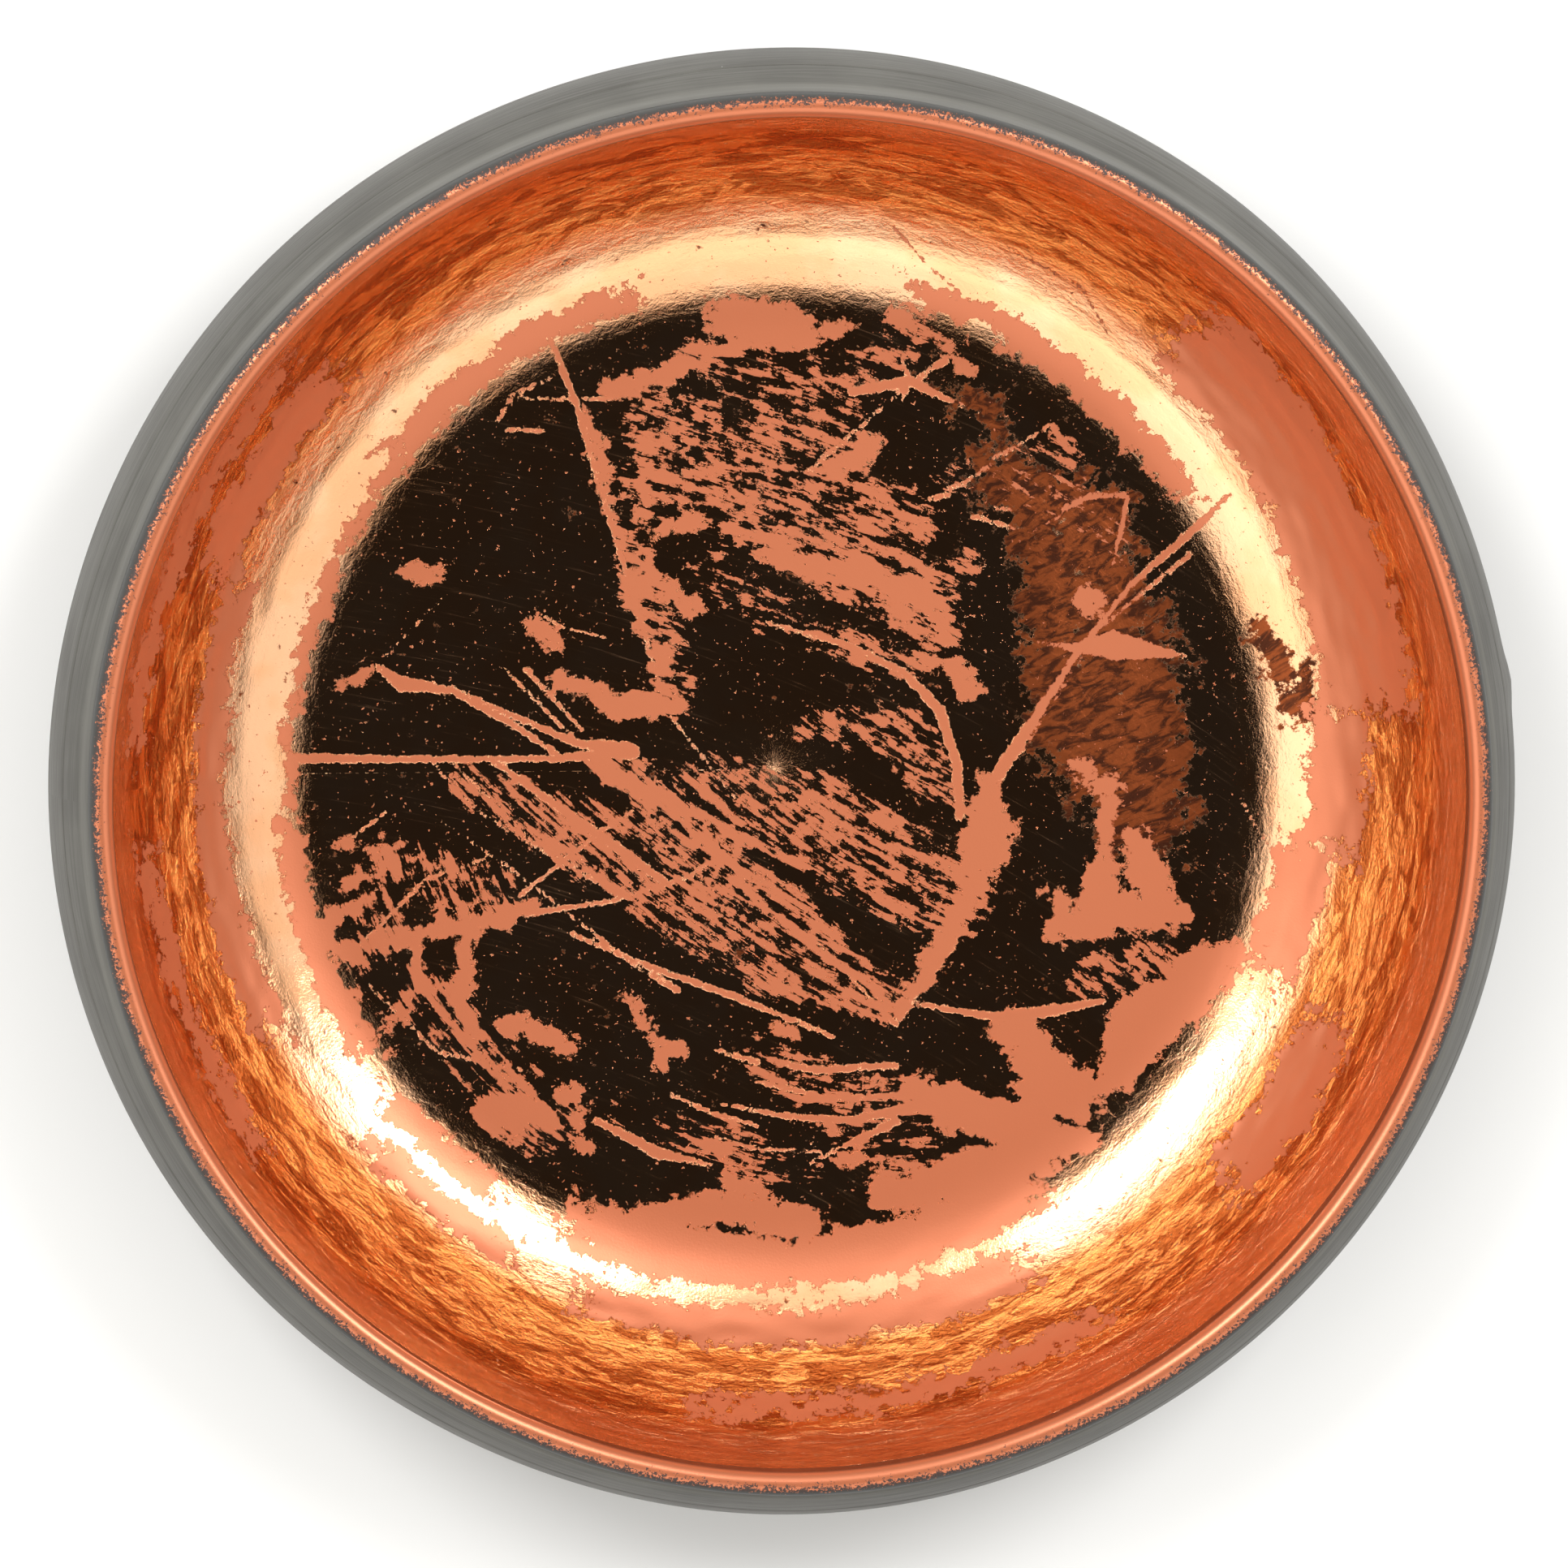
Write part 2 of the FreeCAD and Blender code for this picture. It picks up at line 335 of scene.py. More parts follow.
class Graph:
    """The node tree of a material or world, with short ways to add and join nodes."""

    def __init__(self, name: str, world: bool = False) -> None:
        """Starts an empty material, or an empty world.

        Args:
            name: its name.
            world: whether it is a world.
        """
        self.owner = (bpy.data.worlds if world else bpy.data.materials).new(name)
        self.owner.use_nodes = True
        self.tree = self.owner.node_tree
        self.tree.nodes.clear()

    def add(self, kind: str, sockets: dict, **settings: object) -> Node:
        """Adds a node.

        Args:
            kind: the node's type, without the ShaderNode in front.
            sockets: what each input is joined to or set to, by name or number.
            settings: the node's own properties.

        Returns:
            The new node.
        """
        node = self.tree.nodes.new(f"ShaderNode{kind}")
        for name, value in settings.items():
            setattr(node, name, value)
        for key, value in sockets.items():
            if isinstance(value, NodeSocket):
                self.tree.links.new(value, node.inputs[key])
            else:
                node.inputs[key].default_value = value
        return node

    def math(self, operation: str, *values: object) -> NodeSocket:
        """Adds a Math node and returns its result."""
        return self.add("Math", dict(enumerate(values)), operation=operation).outputs[0]

    def times(self, first: object, second: object) -> NodeSocket:
        """One value times another."""
        return self.math("MULTIPLY", first, second)

    def plus(self, first: object, second: object) -> NodeSocket:
        """One value and another together."""
        return self.math("ADD", first, second)

    def minus(self, first: object, second: object) -> NodeSocket:
        """One value less another."""
        return self.math("SUBTRACT", first, second)

    def scaled(self, vector: object, scale: float) -> NodeSocket:
        """A vector times a number."""
        node = self.add("VectorMath", {0: vector, "Scale": scale}, operation="SCALE")
        return node.outputs[0]

    def noise(self, vector: object, scale: float, detail: float = 3, roughness: float = 0.55,
              distortion: float = 0, **settings: object) -> NodeSocket:
        """A noise value at a place.

        Args:
            vector: the place.
            scale: lumps for each unit of length.
            detail: number of finer layers.
            roughness: how strong the finer layers are.
            distortion: how far the lumps are bent.
            settings: the node's own properties.

        Returns:
            A value of about 0 to 1.
        """
        sockets = {"Vector": vector, "Scale": scale, "Detail": detail, "Roughness": roughness,
                   "Distortion": distortion}
        return self.add("TexNoise", sockets, **settings).outputs[0]

    def ramp(self, value: object, low: float, high: float, start: object = 0,
             end: object = 1) -> NodeSocket:
        """A smooth change from start to end while a value goes from low to high."""
        sockets = {0: value, 1: low, 2: high, 3: start, 4: end}
        return self.add("MapRange", sockets, interpolation_type="SMOOTHSTEP").outputs[0]

    def colour(self, share: object, first: object, second: object) -> NodeSocket:
        """A mix of two colours."""
        node = self.add("Mix", {0: share, 6: first, 7: second}, data_type="RGBA")
        return node.outputs[2]

    def attribute(self, name: str) -> tuple[NodeSocket, ...]:
        """The four channels of a point attribute."""
        source = self.add("Attribute", {}, attribute_name=name).outputs
        return (*self.add("SeparateColor", {0: source["Color"]}).outputs, source["Alpha"])

    def place(self) -> NodeSocket:
        """The place on the piece, in millimetres."""
        return self.scaled(self.add("TexCoord", {}).outputs["Object"], 1 / MM)

    def polar(self, place: object, centre: tuple[float, float]) -> tuple:
        """Measures a place about an upright line.

        Args:
            place: the place.
            centre: where the line stands.

        Returns:
            The place's distance and angle about the line, and its height.
        """
        moved = self.add("VectorMath", {0: place, 1: (*centre, 0)}, operation="SUBTRACT")
        x, y, z = self.add("SeparateXYZ", {0: moved.outputs[0]}).outputs
        distance = self.math("SQRT", self.plus(self.times(x, x), self.times(y, y)))
        return distance, self.math("ARCTAN2", y, x), z

    def joined(self, x: object, y: object, z: object) -> NodeSocket:
        """A vector of three numbers."""
        return self.add("CombineXYZ", {0: x, 1: y, 2: z}).outputs[0]

    def surface(self, sockets: dict, height: object, strength: float) -> Material:
        """Ends the tree in one shader.

        Args:
            sockets: inputs of the Principled shader.
            height: relief in millimetres.
            strength: how much of the relief shows.

        Returns:
            The finished material.
        """
        bump = self.add("Bump", {"Height": height, "Strength": strength, "Distance": MM})
        shader = self.add("BsdfPrincipled", {**sockets, "Normal": bump.outputs[0]})
        self.add("OutputMaterial", {0: shader.outputs[0]})
        return self.owner


def rgb(red: float, green: float, blue: float) -> tuple[float, float, float, float]:
    """An opaque linear colour."""
    return (red, green, blue, 1)


@dataclass(frozen=True)
class GreyPaint:
    """Matt grey paint on turned wood, rubbed down round the bowl, with painted shade round the foot
    of the lip and a painted highlight along the shoulder's crest.
    """

    base: tuple = rgb(0.105, 0.101, 0.088)
    rubbed: tuple = rgb(0.074, 0.070, 0.061)
    dust: tuple = rgb(0.75, 0.75, 0.72)
    pit: tuple = rgb(0.05, 0.048, 0.045)
    # Painted highlight along the shoulder's crest.
    ridge_highlight: tuple = rgb(0.24, 0.235, 0.21)
    # Painted shade round the foot of the lip.
    shade: tuple = rgb(0.045, 0.044, 0.04)
    roughness: float = 0.52
    fineness: float = 2.2

    def material(self) -> Material:
        """Builds the finish.

        Returns:
            The finished material.
        """
        g = Graph("grey_paint")
        place = g.place()
        distance, angle, height = g.polar(place, (0, 0))
        along = g.times(angle, 6)
        grain = g.joined(along, g.times(height, self.fineness), g.times(distance, self.fineness))
        scratch = g.noise(grain, 1, 5, 0.65)
        cloud = g.noise(place, 0.05, 3)
        worn = g.plus(g.times(scratch, 0.7), g.times(cloud, 0.5))
        colour = g.colour(g.ramp(worn, 0.45, 0.75), self.base, self.rubbed)
        cells = g.add("TexVoronoi", {"Vector": place, "Scale": 0.16})
        chosen = g.add("SeparateColor", {0: cells.outputs["Color"]}).outputs
        dot = g.math("LESS_THAN", cells.outputs["Distance"], g.times(chosen[1], 0.035))
        white = g.times(dot, g.math("GREATER_THAN", chosen[0], 0.8))
        dark = g.times(dot, g.math("LESS_THAN", chosen[0], 0.25))
        joint, painted_ledge_shade, highlit_ridge, _ = g.attribute("wear_and_painted_light")
        broken = g.ramp(g.noise(g.scaled(place, 0.12), 1, 4, 0.7), 0.44, 0.56)
        dark = g.math("MAXIMUM", dark, g.times(g.times(joint, broken), 0.9))
        # Painted shade: the top of the shoulder course, round the foot of the lip hoop, is drawn
        # darker.
        colour = g.colour(g.times(painted_ledge_shade, 0.85), colour, self.shade)
        # Painted highlight: a lighter line along the shoulder's outer crest.
        colour = g.colour(g.times(highlit_ridge, 0.4), colour, self.ridge_highlight)
        colour = g.colour(dark, g.colour(white, colour, self.dust), self.pit)
        relief = g.minus(g.times(scratch, 0.02), g.times(dark, 0.1))
        rough = g.ramp(scratch, 0.3, 0.7, self.roughness - 0.05, self.roughness + 0.08)
        return g.surface({"Base Color": colour, "Roughness": rough}, relief, 0.8)


@dataclass(frozen=True)
class CopperPaint:
    """The satin copper-coloured ground coat."""

    base: tuple = rgb(0.58, 0.178, 0.081)
    clouded: tuple = rgb(0.57, 0.155, 0.07)
    # Painted shadow in the groove under the lip's inner side.
    groove_shadow: tuple = rgb(0.10, 0.025, 0.012)
    # Painted shade on the lip's outer side.
    painted_shade: tuple = rgb(0.05, 0.028, 0.022)
    metal: float = 0.45
    roughness: float = 0.35
    raggedness: float = 3
    spray: float = 9

    def grain(self, g: Graph, place: object) -> NodeSocket:
        """The sprayed coat's fine relief, in millimetres."""
        return g.times(g.noise(place, 2.2, 3), 0.02)

    def material(self) -> Material:
        """Builds the finish.

        Returns:
            The finished material.
        """
        g = Graph("copper_paint")
        place = g.place()
        shade = g.ramp(g.noise(place, 0.4, 4), 0.3, 0.7)
        colour = g.colour(shade, self.base, self.clouded)
        sockets = {"Base Color": colour, "Metallic": self.metal, "Roughness": self.roughness}
        return g.surface(sockets, self.grain(g, place), 1)

    def sprayed_edge(self, grey: GreyPaint) -> Material:
        """Builds the coat with an outer edge that breaks into specks, painted shade on the lip's
        outer side past that edge and a painted shadow low on its inner side.

        Args:
            grey: the paint that it breaks over.

        Returns:
            The finished material.
        """
        g = Graph("copper_paint_edge")
        place = g.place()
        across, _, _, _ = g.attribute("wear_and_painted_light")
        ragged = g.times(g.minus(g.noise(place, 0.35, 5, 0.7), 0.5), self.raggedness)
        specks = g.times(g.minus(g.noise(place, 1.7, 4, 0.75), 0.5), self.spray)
        edge = g.plus(across, g.plus(ragged, specks))
        bare = g.ramp(edge, 0.6, 0.95)
        # Painted shade: past the copper's edge the lip's outer side is drawn dark brown, then dark
        # grey.
        painted_shade = g.colour(g.ramp(across, 0.9, 2.3), self.painted_shade, grey.shade)
        # Painted shadow: a dark copper line low on the lip's inner side, in the groove over the
        # leaf.
        groove_shadow = g.ramp(across, -3.4, -2.5, 0.85, 0)
        colour = g.colour(bare, g.colour(groove_shadow, self.base, self.groove_shadow), painted_shade)
        metal = g.times(g.minus(1, bare), self.metal)
        rough = g.ramp(bare, 0, 1, self.roughness - 0.06, grey.roughness)
        relief = g.minus(self.grain(g, place), g.times(bare, 0.03))
        sockets = {"Base Color": colour, "Metallic": metal, "Roughness": rough}
        return g.surface(sockets, relief, 1)


@dataclass(frozen=True)
class BrushSweep:
    """One family of brush strokes: arcs about a centre, in millimetres."""

    centre: tuple[float, float]
    radius: float
    spacing: float = 3.6
    length: float = 45

    def strokes(self, g: Graph, place: object) -> NodeSocket:
        """How strongly a stroke covers a place.

        Args:
            g: the tree.
            place: place on the piece.

        Returns:
            A value of about 0 to 1.
        """
        distance, angle, _ = g.polar(place, self.centre)
        along = g.times(angle, self.radius / self.length)
        across = g.math("DIVIDE", distance, self.spacing)
        return g.noise(g.joined(across, along, self.radius), 1, 5, 0.66)


SWEEPS = (
    BrushSweep((-150, -350), 420, 1.7, 8),
    BrushSweep((142.8, 193.2), 269, 1.8, 13),
    BrushSweep((23, 18), 94, 2.3, 17),
)


@dataclass(frozen=True)
class CopperLeaf:
    """Copper leaf under clear lacquer, which shows its ground coat where it is torn."""

    leaf: tuple = rgb(0.95, 0.53, 0.30)
    aged: tuple = rgb(0.93, 0.47, 0.24)
    # Painted reflection: the deeper orange of the wall leaf stands in for copper reflecting copper.
    wall: tuple = rgb(0.90, 0.35, 0.095)
    # Painted reflection: dark orange blotches on the wall.
    dim_wall: tuple = rgb(0.42, 0.10, 0.02)
    # Dark red-brown of the crinkled patch and the smudge; on the crinkled patch it is painted
    # reflection of the dark above the bowl.
    reflection_and_smudge_brown: tuple = rgb(0.27, 0.066, 0.02)
    dark_reflection_and_smudge_brown: tuple = rgb(0.07, 0.022, 0.011)
    ground: CopperPaint = CopperPaint()
    roughness: float = 0.045
    mean_radius: float = 125
    nicks: float = 2.4
    fraying: float = 13
    streaking: float = 19
    pinholes: float = 0.70

    def bare_share(self, g: Graph, place: object, clean: object, ragged: object) -> NodeSocket:
        """Where the ground shows.

        Args:
            g: the tree.
            place: place on the piece.
            clean: depth in a tear with clean edges, in millimetres.
            ragged: depth in a tear with ragged edges.

        Returns:
            1 on bare ground and 0 on leaf.
        """
        nick = g.minus(g.noise(place, 0.7, 6, 0.72), 0.5)
        clean = g.plus(clean, g.times(nick, self.nicks))
        torn = g.minus(g.noise(place, 0.30, 8, 0.72), 0.5)
        depth = g.plus(ragged, g.times(torn, self.fraying))
        for sweep, weight in zip(SWEEPS, g.attribute("strokes")[:3]):
            stroke = g.minus(sweep.strokes(g, place), 0.5)
            depth = g.plus(depth, g.times(g.times(stroke, self.streaking), weight))
        specks = g.minus(g.noise(place, 1.1, 3, 0.6), self.pinholes)
        depth = g.math("MAXIMUM", depth, g.times(specks, 8))
        return g.ramp(g.math("MAXIMUM", clean, depth), -0.1, 0.1)

    def drawn(self, g: Graph, place: object, length: float, width: float,
              **settings: object) -> NodeSocket:
        """Noise drawn out round the bowl.

        Args:
            g: the tree.
            place: place on the piece.
            length: size of a mark along the wall, in millimetres.
            width: its size across.
            settings: the noise's own settings.

        Returns:
            A value of about 0 to 1.
        """
        distance, angle, height = g.polar(place, (0, 0))
        vector = g.joined(g.times(angle, self.mean_radius / length),
                          g.math("DIVIDE", distance, width), g.math("DIVIDE", height, width))
        return g.noise(vector, 1, 5, 0.62, **settings)

    def wrinkles(self, g: Graph, place: object, crinkle: object) -> NodeSocket:
        """Relief of the leaf's wrinkles, drawn out round the bowl.

        Args:
            g: the tree.
            place: place on the piece.
            crinkle: their strength, 0 to 1.

        Returns:
            The relief in millimetres.
        """
        drawn = self.drawn(g, place, 5.5, 1.9, distortion=0.7)
        folds = g.noise(place, 0.7, 4, 0.62, noise_type="RIDGED_MULTIFRACTAL")
        creases = g.noise(place, 1.2, 5, 0.65)
        relief = g.plus(g.times(drawn, 0.75), g.times(folds, 0.08))
        relief = g.plus(relief, g.times(creases, 0.34))
        return g.times(relief, crinkle)

    def tone(self, g: Graph, place: object, crinkle: object, dull: object) -> NodeSocket:
        """Colour of the leaf, with painted reflections on the wall and a painted highlight just
        below the lip.

        Args:
            g: the tree.
            place: place on the piece.
            crinkle: strength of its wrinkles, 0 to 1.
            dull: how far it is drawn dark red-brown, 0 to 1; on the crinkled patch this is painted
                reflection.

        Returns:
            The colour.
        """
        colour = g.colour(g.ramp(g.noise(place, 0.06, 3), 0.4, 0.6), self.leaf, self.aged)
        wall = g.ramp(crinkle, 0.35, 0.78)
        blotch = g.ramp(self.drawn(g, place, 13, 3.4, distortion=0.8), 0.47, 0.56)
        distance, _, _ = g.polar(place, (0, 0))
        below_lip = g.ramp(distance, 131, 135, 0.85, 0.25)
        # Painted reflection: dark orange blotches drawn out round the wall, weaker near the lip.
        reflection_blotches = g.times(wall, g.times(blotch, below_lip))
        # Painted reflection: the wall leaf turns deeper orange.
        colour = g.colour(wall, colour, self.wall)
        # Painted highlight: the leaf just below the lip is drawn paler.
        colour = g.colour(g.ramp(distance, 131.5, 135.5, 0, 0.8), colour, self.leaf)
        colour = g.colour(reflection_blotches, colour, self.dim_wall)
        reach, bearing, _ = g.polar(place, (15, 140))
        across = g.joined(g.math("DIVIDE", reach, 2), g.times(bearing, 24), 0)
        flecks = g.ramp(g.noise(across, 1, 5, 0.62, distortion=0.9), 0.42, 0.60)
        # Dark red-brown flecks for the dull places; on the crinkled patch this is painted
        # reflection of the dark above the bowl.
        reflection_and_smudge_browns = g.colour(flecks, self.reflection_and_smudge_brown, self.dark_reflection_and_smudge_brown)
        return g.colour(dull, colour, reflection_and_smudge_browns)

    def material(self) -> Material:
        """Builds the finish.

        Returns:
            The finished material.
        """
        g = Graph("copper_leaf")
        place = g.place()
        clean, crinkle, ragged, dull = g.attribute("wear_and_painted_light")
        frayed = g.minus(g.noise(place, 0.22, 6, 0.7), 0.5)
        dull = g.ramp(g.plus(dull, g.times(frayed, 3.2)), 0.42, 0.62)
        dull = g.times(dull, g.ramp(crinkle, 0.72, 0.8, 1, 0))
        bare = self.bare_share(g, place, clean, ragged)
        covered = g.minus(1, bare)
        relief = g.plus(self.wrinkles(g, place, crinkle), 0.03)
        relief = g.plus(g.times(relief, covered), self.ground.grain(g, place))
        leaf_colour = self.tone(g, place, crinkle, dull)
        colour = g.colour(bare, leaf_colour, self.ground.base)
        swept = g.noise(self.swept(g, place), 1, 4, 0.7)
        hairs = g.ramp(swept, 0.54, 0.74, 0, 0.15)
        rough = g.plus(g.plus(hairs, self.roughness),
                       g.plus(g.times(crinkle, 0.05), g.times(dull, 0.36)))
        mixed = g.plus(g.times(rough, covered), g.times(bare, self.ground.roughness))
        metal = g.ramp(bare, 0, 1, 1, self.ground.metal)
        sockets = {"Base Color": colour, "Metallic": metal, "Roughness": mixed}
        return g.surface(sockets, relief, 1)

    def swept(self, g: Graph, place: object) -> NodeSocket:
        """Coordinates in which fine rubbing marks run in long arcs."""
        distance, angle, height = g.polar(place, SWEEPS[0].centre)
        return g.joined(g.times(distance, 2), g.times(angle, 22), height)


# Where the leaf is torn.


@dataclass(frozen=True)
class Tear:
    """A torn or scratched run through places (x, y, half width), in millimetres."""

    places: tuple[tuple[float, float, float], ...]

    def depth(self, x: np.ndarray, y: np.ndarray) -> np.ndarray:
        """How far inside it each place is.

        Args:
            x: the places across, in millimetres.
            y: the places along.

        Returns:
            The depth of each, negative outside.
        """
        deepest = np.full(len(x), -99)
        for (x1, y1, half), (x2, y2, end) in zip(self.places, self.places[1:]):
            dx, dy = x2 - x1, y2 - y1
            share = ((x - x1) * dx + (y - y1) * dy) / (dx * dx + dy * dy)
            share = np.clip(share, 0, 1)
            off = np.hypot(x - x1 - dx * share, y - y1 - dy * share)
            deepest = np.maximum(deepest, half + (end - half) * share - off)
        return deepest


@dataclass(frozen=True)
class Rub:
    """A rubbed stretch round the bowl between two angles and two radii, in degrees and mm."""

    first: float
    last: float
    inner: float
    outer: float

    def depth(self, x: np.ndarray, y: np.ndarray) -> np.ndarray:
        """How far inside it each place is.

        Args:
            x: the places across, in millimetres.
            y: the places along.

        Returns:
            The depth of each, negative outside.
        """
        radius = np.hypot(x, y)
        middle, half = (self.first + self.last) / 2, (self.last - self.first) / 2
        off = np.abs((np.degrees(np.arctan2(y, x)) - middle + 180) % 360 - 180)
        along = np.radians(half - off) * radius / 3
        return np.minimum(np.minimum(radius - self.inner, self.outer - radius), along)


def tears(*runs: Run) -> tuple[Tear, ...]:
    """Makes tears of runs through places (x, y, half width) in tenths of a millimetre."""
    return tuple(Tear(tuple(tuple(n / 10 for n in place) for place in run)) for run in runs)


CLEAN_TEARS = tears(
    ((-468, 907, 9), (-410, 759, 9), (-220, 117, 5)),
    ((-987, 32, 13), (-750, 28, 9), (-461, 26, 8), (-344, 35, 14)),
    ((-817, 218, 9), (-769, 184, 17), (-666, 170, 10), (-538, 96, 9), (-440, 29, 8)),
    ((-666, 173, 6), (-410, 58, 10), (-300, 40, 22)), ((-557, 212, 4), (-410, 64, 6)),
    ((-512, 212, 7), (-397, 84, 5)), ((-525, 769, 4), (-400, 766, 6), (-311, 769, 5)),
    ((-570, 721, 6), (-538, 776, 7), (-455, 814, 4)), ((-554, 705, 5), (-477, 702, 6)),
    ((-807, 237, 2), (-685, 359, 3)), ((-474, 320, 6), (-440, 298, 4), (-352, 276, 4)),
    ((-509, -294, 8), (-341, -270, 6), (-176, -220, 7), (-110, -170, 4)),
    ((-527, -257, 6), (-368, -131, 5), (-290, -80, 5)),
    ((-712, 28, 4), (-632, -65, 6), (-527, -137, 4), (-302, -257, 5)),
    ((-672, 28, 5), (-474, -170, 4), (-321, -257, 6)),
    ((-580, 21, 8), (-374, -124, 12), (-229, -230, 10)),
    ((-692, -98, 2), (-540, -204, 5), (-407, -310, 5), (-275, -415, 6), (-202, -455, 9)),
    ((-421, -336, 6), (-275, -402, 8), (-90, -468, 9), (120, -555, 6)),
    ((-220, 117, 5), (-80, -60, 3)),
    ((70, -340, 3), (249, -534, 7), (300, -450, 10), (364, -360, 16)),
    ((461, -15, 17), (620, 229, 10), (733, 374, 8), (865, 490, 11), (940, 570, 6)),
    ((510, 30, 4), (675, 290, 5), (858, 440, 8)),
    ((539, 260, 4), (620, 246, 12), (700, 252, 34), (858, 226, 4)),
    ((597, 537, 9), (650, 560, 10), (728, 563, 7), (715, 490, 9), (698, 420, 4)),
    ((317, 557, 6), (356, 563, 8)), ((356, 576, 7), (390, 586, 6), (410, 605, 5), (441, 622, 8)),
    ((448, 638, 7), (500, 665, 5), (571, 710, 6)), ((454, 537, 6), (500, 530, 5)),
    ((408, 518, 7), (500, 492, 6)), ((513, 479, 3), (597, 524, 5)),
    ((70, 616, 6), (278, 794, 5), (350, 843, 11)), ((158, 778, 12), (278, 798, 14), (428, 726, 2)),
    ((260, 845, 2), (278, 798, 10), (250, 745, 2)),
    ((-15, 303, 5), (148, 256, 9), (265, 199, 10), (340, 120, 13), (374, 10, 13), (382, -100, 12)),
    ((545, -505, 2), (700, -726, 3), (790, -810, 2)),
    ((303, -491, 7), (448, -518, 10), (560, -509, 15), (680, -488, 7)),
    ((5, -607, 8), (80, -624, 10), (250, -617, 9)),
    ((-37, -647, 7), (118, -687, 9), (243, -680, 8)),
    ((-110, -693, 4), (18, -720, 8), (160, -730, 10), (340, -693, 15)),
    ((71, -819, 4), (250, -733, 12)), ((-216, -673, 5), (-130, -714, 7), (-37, -739, 6)),
    ((-123, -581, 5), (-37, -607, 9)), ((-800, -80, 5), (-880, -140, 4)),
    ((-860, -360, 5), (-720, -220, 5), (-600, -180, 4)),
    ((-840, -440, 4), (-700, -580, 6), (-520, -620, 4)),
    ((240, 1120, 5), (310, 1040, 4), (380, 980, 5)),
    ((470, 1080, 5), (620, 1000, 4), (680, 900, 4)),
    ((970, -80, 5), (1030, -180, 4), (1040, -300, 5)),
    ((-136, -760, 3), (-44, -786, 6), (90, -794, 4)),
    ((-374, -726, 8), (-242, -796, 15), (-123, -824, 3)),
)
RAGGED_TEARS = tears(
    ((-392, 740, 8), (-310, 460, 12), (-270, 310, 18), (-214, 140, 12)),
    ((-90, 935, 40), (30, 905, 40)), ((-333, 788, 16), (-218, 826, 22), (-70, 878, 20)),
    ((50, 880, 15), (148, 909, 10)), ((233, 948, 10), (320, 900, 12), (402, 830, 9)),
    ((-262, 673, 26), (-250, 660, 24)), ((-269, 540, 17), (-269, 618, 22), (-166, 609, 16)),
    ((-234, 503, 16), (-160, 510, 14)), ((-260, 385, 22), (-175, 340, 14)),
    ((-40, 475, 16), (60, 420, 30), (240, 385, 46), (360, 290, 16)),
    ((120, 615, 30), (190, 665, 26)), ((-750, 417, 15), (-698, 410, 12)),
    ((-493, 301, 19), (-461, 270, 15)), ((-890, 186, 11), (-839, 205, 8)),
    ((-448, 186, 16), (-410, 180, 12), (-320, 138, 28), (-220, 140, 24)),
    ((-370, 20, 24), (-250, -45, 30), (-140, -150, 18), (60, -290, 8)),
    ((376, 205, 26), (402, 168, 20)), ((305, 235, 14), (330, 225, 12)),
    ((646, 345, 25), (664, 325, 20)), ((571, 687, 15), (610, 635, 16)),
    ((442, -28, 16), (440, -140, 46), (400, -270, 30), (330, -380, 22), (260, -510, 14)),
    ((180, -430, 20), (240, -510, 16)),
    ((634, -5, 16), (695, -40, 20), (690, -110, 20), (680, -170, 12)),
    ((746, -135, 20), (765, -220, 36), (800, -295, 36)),
    ((680, -210, 26), (660, -290, 40), (780, -300, 34)),
    ((575, -270, 20), (595, -330, 26), (840, -310, 24)),
    ((950, -390, 26), (860, -460, 64), (760, -550, 64), (710, -640, 40)),
    ((500, -550, 42), (600, -690, 50), (460, -740, 66), (280, -680, 34)),
    ((600, -760, 60), (440, -840, 60), (220, -880, 36)),
    ((-937, -330, 20), (-890, -283, 16), (-818, -263, 16)),
    ((-920, -376, 15), (-758, -336, 15), (-646, -323, 22), (-505, -280, 15)),
    ((-877, -223, 16), (-785, -184, 19), (-666, -210, 9)), ((-884, -144, 10), (-785, -150, 11)),
    ((-632, -330, 16), (-652, -462, 20), (-626, -561, 14), (-507, -675, 10)),
    ((-738, -350, 12), (-738, -429, 15), (-791, -520, 16)), ((-738, -422, 18), (-659, -455, 22)),
    ((-692, -250, 12), (-646, -276, 15)), ((-546, -530, 20), (-427, -568, 14)),
    ((-440, -690, 12), (-414, -654, 10), (-401, -773, 16)), ((-580, -710, 36), (-476, -716, 22)),
    ((-302, -468, 4), (-262, -548, 8), (-209, -568, 14), (-240, -610, 12)),
    ((15, -534, 16), (25, -536, 14)), ((140, -806, 16), (170, -809, 14)),
    ((-340, -958, 30), (-90, -905, 32), (60, -945, 30)),
    ((-105, -840, 8), (-63, -880, 22), (-10, -855, 9)),
)
KEPT_SHARDS = tears(
    ((626, -550, 39), (665, -650, 7)), ((425, -650, 24), (510, -685, 5)),
    ((382, -770, 9), (448, -786, 9)), ((580, -730, 8), (654, -748, 8)),
    ((460, -600, 8), (500, -585, 5)), ((560, -290, 30), (500, -330, 34)),
    ((-675, -370, 22), (-685, -415, 16)), ((-240, -140, 17), (-210, -160, 15)),
    ((290, -300, 12), (330, -270, 10)), ((220, 435, 8), (290, 405, 7)),
)
